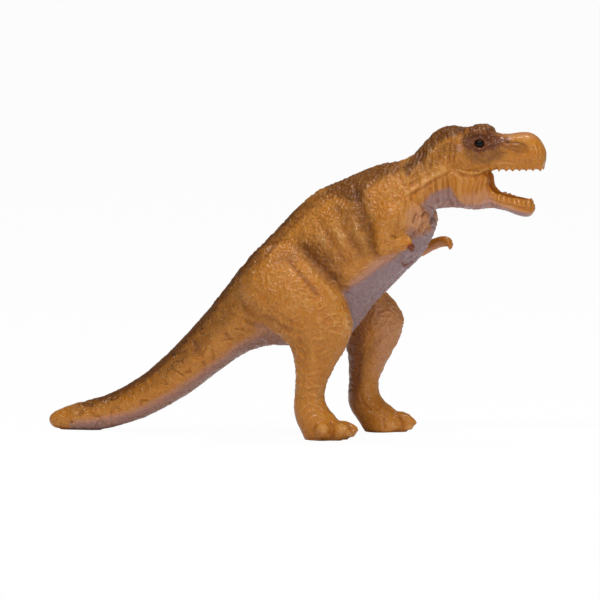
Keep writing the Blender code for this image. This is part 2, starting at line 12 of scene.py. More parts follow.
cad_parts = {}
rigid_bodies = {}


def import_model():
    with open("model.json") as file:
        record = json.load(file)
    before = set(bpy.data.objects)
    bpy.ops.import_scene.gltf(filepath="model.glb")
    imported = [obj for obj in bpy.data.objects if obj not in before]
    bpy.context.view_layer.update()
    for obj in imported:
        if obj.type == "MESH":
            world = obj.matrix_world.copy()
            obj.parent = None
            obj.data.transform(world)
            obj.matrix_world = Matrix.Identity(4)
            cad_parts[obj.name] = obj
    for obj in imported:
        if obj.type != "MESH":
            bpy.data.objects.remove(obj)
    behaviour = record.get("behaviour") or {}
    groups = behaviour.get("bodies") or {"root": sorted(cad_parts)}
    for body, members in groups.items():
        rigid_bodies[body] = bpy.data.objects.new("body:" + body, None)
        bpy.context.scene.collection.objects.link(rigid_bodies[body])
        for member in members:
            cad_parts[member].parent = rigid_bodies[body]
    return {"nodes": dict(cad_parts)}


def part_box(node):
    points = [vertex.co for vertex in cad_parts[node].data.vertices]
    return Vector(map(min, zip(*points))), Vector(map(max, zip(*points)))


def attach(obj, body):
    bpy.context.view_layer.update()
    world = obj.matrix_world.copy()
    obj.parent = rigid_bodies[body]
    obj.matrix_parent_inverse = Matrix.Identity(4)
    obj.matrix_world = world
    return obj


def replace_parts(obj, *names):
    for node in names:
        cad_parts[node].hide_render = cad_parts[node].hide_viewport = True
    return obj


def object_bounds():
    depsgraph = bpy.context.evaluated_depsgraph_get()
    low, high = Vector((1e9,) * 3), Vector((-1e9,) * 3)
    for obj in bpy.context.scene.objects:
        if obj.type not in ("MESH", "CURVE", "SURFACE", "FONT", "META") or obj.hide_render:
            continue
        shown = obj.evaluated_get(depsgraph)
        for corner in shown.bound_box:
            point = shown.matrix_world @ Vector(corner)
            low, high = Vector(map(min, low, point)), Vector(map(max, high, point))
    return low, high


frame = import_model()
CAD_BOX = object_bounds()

bl_info = {
    "name": "Soft PVC dinosaur figure",
    "version": (1, 0, 0),
    "blender": (4, 5, 0),
    "location": "3D View > Sidebar > Figure",
    "description": "Dresses the plain solids of a moulded dinosaur figure in skin, paint and eyes",
    "category": "Object",
}

MM = 0.001
PICTURE = 600.0
SKIN_NODES = ("torso", "head", "lower_jaw", "tail", "right_leg", "left_leg", "right_arm", "left_arm")


# Settings

class ViewSettings(bpy.types.PropertyGroup):
    azimuth: FloatProperty(name="Azimuth", description="Turn of the view from the plain side view",
                           default=math.radians(12), subtype="ANGLE", unit="ROTATION")
    elevation: FloatProperty(name="Elevation", description="Height of the view above the horizon",
                             default=math.radians(5.2), subtype="ANGLE", unit="ROTATION")
    distance: FloatProperty(name="Distance", description="From the camera to the middle of the figure",
                            default=8.0, subtype="DISTANCE", unit="LENGTH")
    dot: FloatProperty(name="Dot size", description="Size on the figure of one dot of a 600 dot picture",
                       default=0.0003151, precision=6, subtype="DISTANCE", unit="LENGTH")
    middle_x: FloatProperty(name="Middle across", description="Picture column of the figure's origin",
                            default=296.95)
    ground_y: FloatProperty(name="Ground line", description="Picture row of the ground under the feet",
                            default=435.0)


class SkinSettings(bpy.types.PropertyGroup):
    grain: FloatProperty(name="Grain", description="Edge length of the skin's mesh",
                         default=0.00032, precision=5, subtype="DISTANCE", unit="LENGTH")
    overlap: FloatProperty(name="Overlap", description="Growth of each section that closes the part lines",
                           default=0.0003, precision=5, subtype="DISTANCE", unit="LENGTH")
    rounding: IntProperty(name="Rounding", description="Smoothing steps that take the facets off",
                          default=10, min=0)
    relief: FloatProperty(name="Relief", description="Strength of scales, folds and wrinkles",
                          default=1.0, min=0.0)


class PaintSettings(bpy.types.PropertyGroup):
    ochre: FloatVectorProperty(name="Ochre", description="Colour of the bare PVC", size=3,
                               default=(0.475, 0.168, 0.013), subtype="COLOR", min=0.0, max=1.0)
    # Brown paint, also used as painted shade in creases, in the hollow before the hip, down the far leg and
    # along the soles
    brown: FloatVectorProperty(name="Brown spray", description="Paint on the back and round the eyes", size=3,
                               default=(0.105, 0.029, 0.002), subtype="COLOR", min=0.0, max=1.0)
    mauve: FloatVectorProperty(name="Mauve spray", description="Paint on the belly and the throat", size=3,
                               default=(0.275, 0.185, 0.20), subtype="COLOR", min=0.0, max=1.0)
    # Pink, also used as painted light: a lighter far knee and a highlight along the top of the snout
    pink: FloatVectorProperty(name="Pink", description="Thin pink spray on throat and chest", size=3,
                              default=(0.49, 0.25, 0.185), subtype="COLOR", min=0.0, max=1.0)
    amber: FloatVectorProperty(name="Mouth", description="Colour inside the mouth", size=3,
                               default=(0.50, 0.17, 0.010), subtype="COLOR", min=0.0, max=1.0)
    # Claw red, also used as painted shade: under the lip of the chest's mark and down the far leg
    claw_red_and_shade: FloatVectorProperty(name="Claws", description="Colour of the finger claws", size=3,
                              default=(0.17, 0.035, 0.012), subtype="COLOR", min=0.0, max=1.0)
    # Pale ochre: a random paler tone, worn scale tops, and a painted highlight on raised tops and curls
    pale: FloatVectorProperty(name="Pale ochre", description="Colour of worn scale tops", size=3,
                              default=(0.64, 0.33, 0.095), subtype="COLOR", min=0.0, max=1.0)
    # Deeper ochre: a random deeper tone, and painted shade in folds and between scales
    deep_tone_and_fold_shade: FloatVectorProperty(name="Deep ochre", description="Colour in folds and between scales", size=3,
                              default=(0.28, 0.070, 0.001), subtype="COLOR", min=0.0, max=1.0)
    blush: FloatVectorProperty(name="Blush", description="Thin edge of the mauve spray", size=3,
                               default=(0.40, 0.165, 0.075), subtype="COLOR", min=0.0, max=1.0)
    eye: FloatVectorProperty(name="Eye", description="Colour of the eyes", size=3,
                             default=(0.002, 0.002, 0.003), subtype="COLOR", min=0.0, max=1.0)
    eye_cast: FloatVectorProperty(name="Eye cast", description="Warm cast in the eyes", size=3,
                                  default=(0.007, 0.005, 0.005), subtype="COLOR", min=0.0, max=1.0)


# Picture plane: places on the skin are named by column and row of the 600 dot picture

# Point from which the camera's distance counts, and the point between the feet on the ground line
MIDDLE = np.array([0.0, 0.0, 0.05])
FEET = np.array([0.017, 0.0, 0.0])


def view_axes(view):
    """Directions to the right, upward and towards the camera, as the camera sees them."""
    a, e = view.azimuth, view.elevation
    right = np.array([math.cos(a), math.sin(a), 0.0])
    back = np.array([math.sin(a) * math.cos(e), -math.cos(a) * math.cos(e), math.sin(e)])
    return right, np.cross(back, right), back


def in_picture(points, view):
    """Columns and rows at which points of the figure, in metres, show in the picture."""
    right, up, back = view_axes(view)
    r = points - MIDDLE
    scale = view.distance / (view.distance - r @ back)
    return (view.middle_x + r @ right * scale / view.dot,
            view.ground_y - (r @ up * scale - (FEET - MIDDLE) @ up) / view.dot)


# Fields over the skin

def soft(x, low, high):
    """Smooth step from 0 at low to 1 at high."""
    t = np.clip((x - low) / (high - low), 0.0, 1.0)
    return t * t * (3.0 - 2.0 * t)


def scramble(cells, seed):
    """Three even random numbers for each cell of an integer grid."""
    c = cells.astype(np.int64)
    h = (c[..., 0] * 73856093) ^ (c[..., 1] * 19349663) ^ (c[..., 2] * 83492791) ^ (seed * 2654435761)
    out = []
    for k in range(3):
        h = (h ^ (h >> 15)) * 2246822519 & 0xFFFFFFFF
        h = (h ^ (h >> 13)) * 3266489917 & 0xFFFFFFFF
        h = h ^ (h >> 16)
        out.append((h & 0xFFFF) / 65535.0)
        h = h + 0x9E3779B9 * (k + 1)
    return np.stack(out, -1)


def wander(points, seed):
    """Smooth noise from -1 to 1, one unit to a swing."""
    base = np.floor(points)
    f = points - base
    f = f * f * (3.0 - 2.0 * f)
    total = np.zeros(len(points))
    for corner in np.ndindex(2, 2, 2):
        c = np.array(corner)
        weight = np.prod(np.where(c, f, 1.0 - f), axis=1)
        total += weight * scramble(base + c, seed)[:, 0]
    return total * 2.0 - 1.0


def pebbles(points, seed, jitter=0.9):
    """Distances to the nearest and the next cell centre, one unit to a cell."""
    base = np.floor(points)
    near = np.full(len(points), 9.0)
    following = np.full(len(points), 9.0)
    for step in np.ndindex(3, 3, 3):
        cell = base + np.array(step) - 1.0
        centre = cell + 0.5 + (scramble(cell, seed) - 0.5) * jitter
        d = np.sqrt(((points - centre) ** 2).sum(1))
        following = np.minimum(following, np.maximum(near, d))
        near = np.minimum(near, d)
    return near, following


def along(x, y, line):
    """Distance from each place to a line of picture points, and the share of the line run there."""
    line = np.array(line, float)
    best = np.full(len(x), 1e9)
    run = np.zeros(len(x))
    lengths = np.hypot(*np.diff(line, axis=0).T)
    starts = np.concatenate([[0.0], np.cumsum(lengths)])
    for i, size in enumerate(lengths):
        ax, ay = line[i]
        tx, ty = (line[i + 1] - line[i]) / size
        t = np.clip((x - ax) * tx + (y - ay) * ty, 0.0, size)
        d = np.hypot(x - ax - t * tx, y - ay - t * ty)
        closer = d < best
        best = np.where(closer, d, best)
        run = np.where(closer, (starts[i] + t) / starts[-1], run)
    return best, run


def within(x, y, ring):
    """Which places lie inside a closed ring of picture points."""
    inside = np.zeros(len(x), bool)
    for (ax, ay), (bx, by) in zip(ring, ring[1:]):
        if ay != by:
            inside ^= ((ay > y) != (by > y)) & (x < ax + (y - ay) * (bx - ax) / (by - ay))
    return inside


# Meshes

def read(items, key, width=1, kind=float):
    """Array of one value, or of width values, for each item of a mesh."""
    out = np.empty(len(items) * width, kind)
    items.foreach_get(key, out)
    return out if width == 1 else out.reshape(-1, width)


def ends_of(mesh):
    """The two corners of each edge, as two arrays."""
    return read(mesh.edges, "vertices", 2, np.int64).T


def mesh_from(bm, name):
    mesh = bpy.data.meshes.new(name)
    bm.to_mesh(mesh)
    bm.free()
    return mesh


class Skin:
    """The joined skin of the figure: its corners in metres, and how they hang together."""

    def __init__(self, mesh):
        self.mesh = mesh
        self.co = read(mesh.vertices, "co", 3)
        self.ends = ends_of(mesh)
        self.links = np.bincount(self.ends.ravel(), minlength=len(self.co))

    def write(self):
        self.mesh.vertices.foreach_set("co", self.co.ravel())
        self.mesh.update()

    def normals(self):
        self.write()
        return read(self.mesh.vertex_normals, "vector", 3, np.float32).astype(float)

    def mean(self, values):
        """Mean of the values at the corners next to each corner."""
        a, b = self.ends
        if values.ndim == 1:
            total = np.bincount(a, values[b], len(self.co)) + np.bincount(b, values[a], len(self.co))
            return total / np.maximum(self.links, 1)
        return np.stack([self.mean(column) for column in values.T], 1)

    def smooth(self, steps, weight):
        """Moves each corner towards the middle of those beside it, by a share of the way."""
        w = np.broadcast_to(weight, len(self.co))[:, None]
        for _ in range(steps):
            self.co += (self.mean(self.co) - self.co) * w

    def push(self, amount, spread):
        """Moves each corner outward, along the facing of the skin blended over spread steps."""
        n = self.normals()
        for _ in range(spread):
            n = self.mean(n)
        n /= np.maximum(np.linalg.norm(n, axis=1), 1e-9)[:, None]
        self.co += n * np.broadcast_to(amount, len(self.co))[:, None]


def biggest_body(mesh):
    """Keeps the part of a mesh that hangs together and has the most corners."""
    a, b = ends_of(mesh)
    label = np.arange(len(mesh.vertices))
    while True:
        low = np.minimum(label[a], label[b])
        new = label.copy()
        np.minimum.at(new, a, low)
        np.minimum.at(new, b, low)
        new = new[new]
        if np.array_equal(new, label):
            break
        label = new
    keep = np.bincount(label).argmax()
    bm = bmesh.new()
    bm.from_mesh(mesh)
    bm.verts.ensure_lookup_table()
    bmesh.ops.delete(bm, geom=[bm.verts[i] for i in np.nonzero(label != keep)[0]], context="VERTS")
    bm.to_mesh(mesh)
    bm.free()


# Corners closer than this are one, and the most that a sharp corner moves as a multiple of the growth
SAME_PLACE = 1e-7
SHARPEST = 1.25


def solid_copy(name, growth):
    """Mesh of a CAD solid with its corners joined, grown outward, and a little more at sharp corners."""
    bm = bmesh.new()
    bm.from_mesh(frame["nodes"][name].data)
    bmesh.ops.remove_doubles(bm, verts=bm.verts, dist=SAME_PLACE)
    bm.normal_update()
    moves = [(v, v.normal * min(v.calc_shell_factor(), SHARPEST) * growth) for v in bm.verts]
    for v, move in moves:
        v.co += move
    return mesh_from(bm, name + "_copy")


def baked_object(obj):
    """Mesh of an object with its modifiers carried out."""
    graph = bpy.context.evaluated_depsgraph_get()
    graph.update()
    return bpy.data.meshes.new_from_object(obj.evaluated_get(graph))


def linked(name, mesh):
    obj = bpy.data.objects.new(name, mesh)
    bpy.context.scene.collection.objects.link(obj)
    return obj


# Balls of cement that close the corner behind the jaw and the inner elbow: centre and radius in mm
FILLETS = (((50.6, 5.4, 84.4), 1.7), ((50.7, 6.0, 82.8), 1.7), ((50.8, 6.4, 81.2), 1.6),
           ((34.8, 15.7, 64.4), 1.5), ((36.6, 15.4, 64.3), 0.9))


def joined_skin(settings):
    """One closed skin over all sections, with the part lines filled."""
    bm = bmesh.new()
    for (x, y, z), radius in FILLETS:
        for side in (-y, y):
            place = Matrix.Translation(Vector((x, side, z)) * MM)
            bmesh.ops.create_icosphere(bm, subdivisions=3, radius=radius * MM, matrix=place)
    for name in SKIN_NODES:
        copy = solid_copy(name, settings.overlap)
        bm.from_mesh(copy)
        bpy.data.meshes.remove(copy)
    obj = linked("skin_source", mesh_from(bm, "skin"))
    remesh = obj.modifiers.new("grain", "REMESH")
    remesh.mode = "VOXEL"
    remesh.voxel_size = settings.grain
    out = baked_object(obj)
    bpy.data.objects.remove(obj)
    biggest_body(out)
    return out


# Seams at thigh, shoulder and neck that are blended away: smoothing steps, width, distance from the middle
# plane where it starts, and line in the side plane, in mm
BLENDED_SEAMS = (
    (160, 4.5, 5.0, ((9, 60), (-3, 61), (-10, 58), (-15, 50), (-13, 41), (-6, 34.5), (1, 29))),
    (110, 2.8, 5.0, ((26, 62), (27.5, 69), (31, 77), (36, 78), (39.5, 71), (38.5, 66))),
    (60, 1.6, 1.0, ((50.8, 87), (50.8, 84), (50.6, 80), (50.8, 74))),
    (30, 2.2, 1.0, ((66.5, 93.4), (70, 92.8), (74.5, 91.4))),
    (40, 1.2, 8.0, ((33, 63), (37, 65.4))),
    (30, 2.4, 8.0, ((17.5, 4), (21.5, 3.5))),
    (30, 2.4, 8.0, ((30.5, 4), (35, 3.5))),
)

# Drawn relief and paint

# Lines that both follow: the fold before the thigh, the shade over the hip, and the lip of the chest's mark
THIGH_FOLD = ((286, 256), (294, 266), (302, 276), (312, 287), (319, 297))
HIP_SHADE = ((308, 254), (322, 266), (334, 278), (345, 291))
MARK_LIP = ((402, 262), (403.6, 264.6), (406.5, 265.8), (409.5, 264.6), (412.5, 261.6))

# Crease and ridge: zones, width in dots, height in mm, places in the picture
CREASES = (
    # hip, thigh and belly
    ("body", 4.0, -0.55, ((300, 243), (311, 257), (325, 269), (338, 283))),
    ("right_leg", 4.0, -0.35, ((311, 257), (325, 269), (338, 283))),
    ("body right_leg", 2.6, -0.60, THIGH_FOLD),
    ("body right_leg", 2.0, -0.35, (
        (240, 303), (248, 310), (256, 314), (264, 317), (272, 320), (280, 326), (298, 334))),
    ("body", 1.5, -0.35, (
        (228, 313), (236, 316), (244, 319), (251, 323), (259, 326), (279, 327), (290, 332))),
    ("body", 1.3, -0.25, ((226, 329), (233, 330.5), (241, 329), (250, 333))),
    ("body", 1.3, -0.30, ((266, 334.5), (271, 337), (277, 339.5))),
    ("right_leg", 2.0, -0.20, ((262, 300), (275, 312), (292, 322), (305, 330))),
    ("right_leg", 3.0, -0.22, ((300, 335), (304, 360), (303, 385), (299, 405))),
    # dorsal line and flank
    ("body", 1.6, -0.30, (
        (345, 190), (328, 198), (312, 207), (298, 219), (284, 234), (268, 252), (256, 266))),
    ("body", 3.2, -0.34, ((318, 214), (326, 232), (338, 252), (352, 268))),
    ("body", 3.2, -0.34, ((336, 204), (344, 226), (356, 248), (366, 262))),
    ("body", 4.0, -0.38, ((354, 186), (360, 204), (366, 220), (374, 238))),
    ("body", 1.6, -0.16, ((322, 226), (330, 240), (340, 252))),
    ("body", 1.6, -0.16, ((342, 220), (350, 238), (358, 250))),
    # shoulder and arm
    ("body", 2.2, -0.45, ((378, 222), (377, 236), (375, 250), (378, 258))),
    ("right_arm", 2.0, -0.25, ((382, 243), (390, 246), (398, 243))),
    ("right_arm", 1.2, -0.35, ((390, 236), (396, 237), (401, 235), (405, 232))),
    ("right_arm", 1.4, -0.30, ((386, 253), (394, 251.5), (402, 248), (407, 245))),
    # chest and throat
    ("body", 1.4, -0.75, ((412.5, 224), (414.5, 219), (417, 213))),
    ("body", 1.4, -0.75, ((418, 232), (421.5, 227), (425, 221))),
    ("body", 1.4, -0.70, ((423, 234), (427, 229), (429.5, 225))),
    ("body", 1.4, -0.70, ((421, 218), (424, 214), (427, 210))),
    ("body", 1.4, -0.75, ((411.5, 238), (414, 234), (416, 231))),
    ("body", 1.4, -0.70, ((429.5, 225), (431.5, 220), (433, 215))),
    ("body", 1.4, -0.45, ((416, 226), (417.5, 221), (420, 215))),
    ("body", 1.0, -0.30, ((424, 243.5), (425.3, 240.5), (426, 238))),
    ("near_body", 1.1, -0.50, MARK_LIP),
    ("near_body", 0.8, -0.10, (
        (402, 262), (401.6, 258), (404, 254.6), (408, 254), (411.6, 256), (412.6, 261))),
    ("body", 1.8, -0.40, ((397, 174), (403, 183), (409, 192), (412, 200), (422, 206), (434, 210))),
    # neck
    ("body", 1.5, -0.40, ((402, 199), (412, 194), (424, 187), (436, 179), (446, 174), (452, 172))),
    ("body", 1.3, -0.25, ((404, 187), (416, 181), (428, 174), (438, 169))),
    ("body", 2.4, -0.30, ((452, 174), (453, 182), (454, 192), (456, 202))),
    ("body", 1.2, -0.38, ((455, 143), (454, 152), (453, 165))),
    ("body", 1.2, -0.38, ((450, 142), (449, 153), (448, 166))),
    ("body", 1.2, -0.38, ((444, 144), (444, 155), (442, 167))),
    ("body", 1.2, -0.38, ((437, 148), (438, 158), (436, 168))),
    ("body", 1.2, -0.35, ((430, 154), (431, 162), (429, 171))),
    ("body", 1.2, -0.32, ((422, 160), (424, 168), (423, 176))),
    ("body", 1.2, -0.38, ((448, 176), (448.5, 186), (448, 199))),
    ("body", 1.2, -0.38, ((442, 179), (443, 190), (442, 203))),
    ("body", 1.2, -0.38, ((436, 183), (437, 194), (436, 205))),
    ("body", 1.2, -0.35, ((430, 187), (431, 197), (430, 206))),
    ("body", 1.2, -0.32, ((424, 191), (425, 199), (424, 205))),
    # cheek, jaw and lips
    ("body", 1.5, -0.50, (
        (457, 172.6), (463, 175.2), (470, 176.4), (478, 175.8), (485, 172.6), (490, 169.6))),
    ("body", 1.1, -0.36, ((489, 171.5), (485, 177), (482, 185), (481, 193))),
    ("body", 1.1, -0.36, ((484, 174), (480, 180), (477, 188), (476, 196))),
    ("body", 1.1, -0.36, ((478, 176.5), (475, 183), (472, 190), (472, 198))),
    ("body", 1.1, -0.30, ((471, 178), (468, 186), (467, 197))),
    ("body", 1.2, -0.28, ((464, 178), (462, 188), (463, 198))),
    ("body", 1.0, -0.26, ((487, 181), (485.5, 188), (486, 196))),
    ("body", 1.2, -0.30, ((484, 198), (494, 201), (505, 204), (516, 207), (526, 209), (533, 208))),
    ("body", 0.9, -0.20, ((500, 161), (508, 162), (517, 163))),
    ("body", 0.9, -0.18, ((502, 165.5), (510, 166), (520, 166))),
    # snout and nostril
    ("body", 1.2, -0.34, (
        (500, 143.5), (507, 142.4), (515, 142.6), (523, 144.2), (528, 148), (526, 152.5), (519, 152.8),
        (511, 149.6), (503, 146.5), (500, 143.5))),
    ("body", 0.9, -0.34, ((508, 146.2), (516, 147.0), (522, 149.0))),
    ("body", 0.9, -0.26, ((514, 150.0), (520, 151.0), (525, 149.5), (524.5, 146.6), (518, 145.0))),
    ("body", 1.0, -0.28, ((537, 143), (539.5, 150), (539.5, 160))),
    ("body", 1.0, -0.24, ((532, 146), (534, 152), (533.5, 161))),
    *(("body", 0.9, -0.26, ((x, 159.5), (x + 0.6, 166))) for x in (503, 508, 514, 519, 525, 530)),
    ("body", 1.8, -0.35, ((496, 134), (497, 139), (495, 145), (491, 150))),
    ("body", 1.2, -0.35, ((462, 127.5), (463, 133), (462, 141), (465, 150))),
    ("body", 1.2, -0.22, ((493, 152), (500, 154), (509, 153))),
    ("body", 1.2, -0.20, ((492, 157), (500, 158.5), (510, 157))),
    # eye lids
    ("body", 1.0, -0.35, ((468, 143.5), (473, 137.5), (479, 135.4), (485, 137.4), (489.5, 142.4))),
    ("body", 1.0, -0.32, ((469, 147.2), (474, 150.6), (480, 151.6), (486, 149.4))),
    # feet
    ("right_leg", 2.0, -0.60, ((330.5, 421), (332.5, 429), (332, 440))),
    ("right_leg", 1.3, -0.55, ((347.5, 422.5), (351, 428), (352, 436))),
    ("right_leg", 1.6, -0.30, ((315, 424), (313.5, 431), (316, 438))),
    ("left_leg", 1.3, -0.34, ((360, 396), (364, 404), (372, 410))),
    ("left_leg", 1.3, -0.34, ((381, 400), (388, 409), (398, 415))),
    ("left_leg", 1.3, -0.30, ((372, 404), (380, 411), (390, 417))),
    ("left_leg", 1.6, -0.42, ((397, 415), (401.5, 422), (402.5, 432))),
    ("left_leg", 1.3, -0.30, ((384, 417), (383, 424), (386, 431))),
    ("left_leg", 2.5, -0.30, ((361, 350), (358, 372), (355, 392))),
)

RIDGES = (
    ("right_arm", 1.0, 0.40, ((398, 240.5), (402, 237.5), (406, 236), (409, 238.5), (410.5, 243))),
    ("right_arm", 1.0, 0.30, ((385, 232), (387.5, 236), (389, 241))),
    ("right_arm", 1.0, 0.28, ((381, 240), (384, 245), (391, 248), (398, 245))),
    ("body", 1.3, 0.45, (
        (456, 169.8), (462, 171.8), (470, 173.3), (478, 172.6), (485, 169.6), (491, 167.2))),
    ("body", 2.0, 0.50, ((404, 196), (414, 189.5), (426, 181.5), (438, 174), (450, 169.5))),
    ("body", 1.4, 0.20, ((408, 183), (420, 176.5), (432, 170))),
    ("body", 1.4, 0.30, ((468, 138), (472, 134.6), (479, 133.0), (486, 134.4), (491, 139))),
    ("body", 1.1, 0.28, ((471, 145.8), (475, 148.4), (480, 149.4), (485, 147.8), (488, 144.6))),
    ("body", 1.0, 0.22, ((472.5, 141.6), (476, 138.2), (480.5, 137.2), (485, 138.8))),
    ("body", 2.0, 0.25, ((498, 137.5), (508, 137.2), (520, 137.2), (531, 139))),
    ("body", 1.0, 0.20, ((510, 144.4), (517, 145.0), (523, 146.8))),
    ("body", 1.1, 0.22, ((500, 163.4), (509, 164.2), (518, 164.8))),
    ("right_leg", 3.0, 0.30, ((303, 262), (316, 275), (328, 288), (338, 302))),
    ("right_leg", 3.0, 0.25, ((345, 312), (347, 324), (344, 338))),
    ("right_leg", 1.1, 0.32, ((298, 414), (303, 407), (311, 404), (320, 407), (326, 413))),
    ("right_leg", 1.1, 0.30, ((302, 420), (307, 412.5), (314, 410), (322, 413.5), (327, 420))),
    ("right_leg", 1.1, 0.28, ((306, 424), (311, 417.5), (318, 415.5), (325, 419.5))),
    ("right_leg", 1.1, 0.30, ((300, 397), (309, 394.5), (319, 396.5))),
    ("right_leg", 1.1, 0.28, ((298, 385), (308, 388), (320, 385))),
    ("right_leg", 1.1, 0.28, ((299, 373), (310, 375), (324, 371))),
    ("right_leg", 1.1, 0.28, ((327, 316), (337, 313), (346, 315))),
    ("right_leg", 1.1, 0.28, ((326, 324), (337, 322), (347, 325))),
    ("right_leg", 1.1, 0.28, ((325, 332), (336, 331.5), (345, 335))),
    ("body", 1.1, 0.30, ((415, 229), (418, 223), (421, 216))),
    ("body", 1.1, 0.30, ((420.5, 234), (424, 229), (427.5, 222))),
    ("body", 1.1, 0.30, ((414, 240), (417, 235), (420, 231))),
    ("body", 1.3, 0.25, ((498, 204.5), (508, 208), (518, 210.6), (529, 211.6))),
)

# Swell or hollow: zone, centre, radii in dots, turn in degrees, height in mm
SWELLS = (
    ("body", (480, 131), (12, 6), 0, 0.35),
    ("body", (459.5, 148.5), (4, 5), 0, 0.18),
    ("body", (523.5, 139), (9, 4), 0, 0.12),
    ("body", (322, 240), (6, 14), -35, 0.55),
    ("body", (340, 236), (6, 17), -28, 0.55),
    ("body", (357, 232), (6, 16), -20, 0.45),
    ("body", (392, 232), (11, 15), 15, 0.40),
    ("body", (385, 195), (14, 10), 20, 0.15),
    ("body", (415, 225), (8, 12), 0, 0.15),
    ("right_leg", (297, 300), (16, 22), -35, 0.25),
    ("right_leg", (334, 312), (10, 16), -20, 0.25),
    ("body", (232.5, 344), (2.4, 2.0), 0, -0.34),
    ("body", (220, 355), (2.2, 2.0), 0, -0.28),
    ("body", (243, 338.5), (2.4, 1.8), 0, -0.28),
    ("right_leg", (322.5, 428.5), (7.0, 7.0), 0, 0.60),
    ("right_leg", (323.2, 430.6), (2.0, 2.0), 0, 0.30),
    ("right_leg", (341.0, 428.5), (7.0, 8.5), 0, 0.50),
    ("right_leg", (346.0, 427.5), (2.6, 3.2), 0, 0.30),
    ("left_leg", (391.5, 425), (7.0, 6.5), 0, 0.40),
    ("left_leg", (396.5, 427.5), (2.2, 2.4), 0, 0.25),
    ("left_leg", (409, 421), (5, 6), 0, 0.20),
    ("left_leg", (409.5, 428.5), (7.0, 4.5), -15, 0.80),
    ("right_leg", (350, 434.5), (6.0, 5.0), -30, 0.80),
)

# Paint lines, painted shade among them: coat, zones, width in dots, strength, places in the picture
SPRAY_LINES = (
    ("brown", "body", 8.0, 0.95, (
        (62, 411), (80, 403), (100, 398), (125, 387), (149, 372), (175, 350), (200, 323), (222, 294),
        (240, 270), (262, 243), (285, 220), (306, 198), (322, 187))),
    ("brown", "body", 2.6, 0.35, (
        (345, 189), (328, 198), (312, 207), (298, 219), (284, 234), (268, 252), (256, 266))),
    # Painted shade over the hip and along the fold before the thigh
    ("brown", "body", 3.5, 0.62, HIP_SHADE),
    ("brown", "right_leg", 3.5, 0.45, HIP_SHADE),
    ("brown", "body right_leg", 1.8, 0.22, THIGH_FOLD),
    ("brown", "body", 3.0, 0.85, ((492, 140), (500, 139.5), (510, 141))),
    ("brown", "body", 2.6, 0.90, ((495, 134), (497, 139), (495, 145), (490, 150))),
    ("brown", "body", 1.6, 0.55, ((500, 144), (508, 142.6), (516, 143), (524, 145), (528, 149.5))),
    ("brown", "body", 2.0, 0.50, ((470, 150), (478, 153), (487, 150.5))),
    # Painted shade in the crease behind the shoulder
    ("brown", "body", 1.4, 0.55, ((378, 226), (377, 238), (376, 250), (379, 257))),
    # Painted shadow under the lip of the chest's mark
    ("claw_red_and_shade", "near_body", 1.2, 1.00, MARK_LIP),
    ("pink", "body", 2.6, 0.75, ((458, 144), (460, 152))),
    ("brown", "body", 0.9, 1.00, ((470.5, 143.6), (474, 143.4), (477, 142.6))),
    ("brown", "body", 0.9, 1.00, ((482, 142.6), (485, 142.4), (488, 141.8))),
    # Painted shade along the bottoms of the soles, where they meet the ground
    ("brown", "right_leg", 1.8, 0.55, ((304, 438), (325, 439), (345, 439))),
    ("brown", "left_leg", 2.0, 0.55, ((365, 431), (385, 433), (402, 431))),
    # Painted shade down the shaded side of the far leg
    ("brown", "left_leg", 5.0, 0.30, ((357, 350), (355, 380), (354, 402))),
    ("claw_red_and_shade", "left_leg", 3.5, 0.30, ((378, 338), (372, 350), (364, 364), (358, 376))),
)
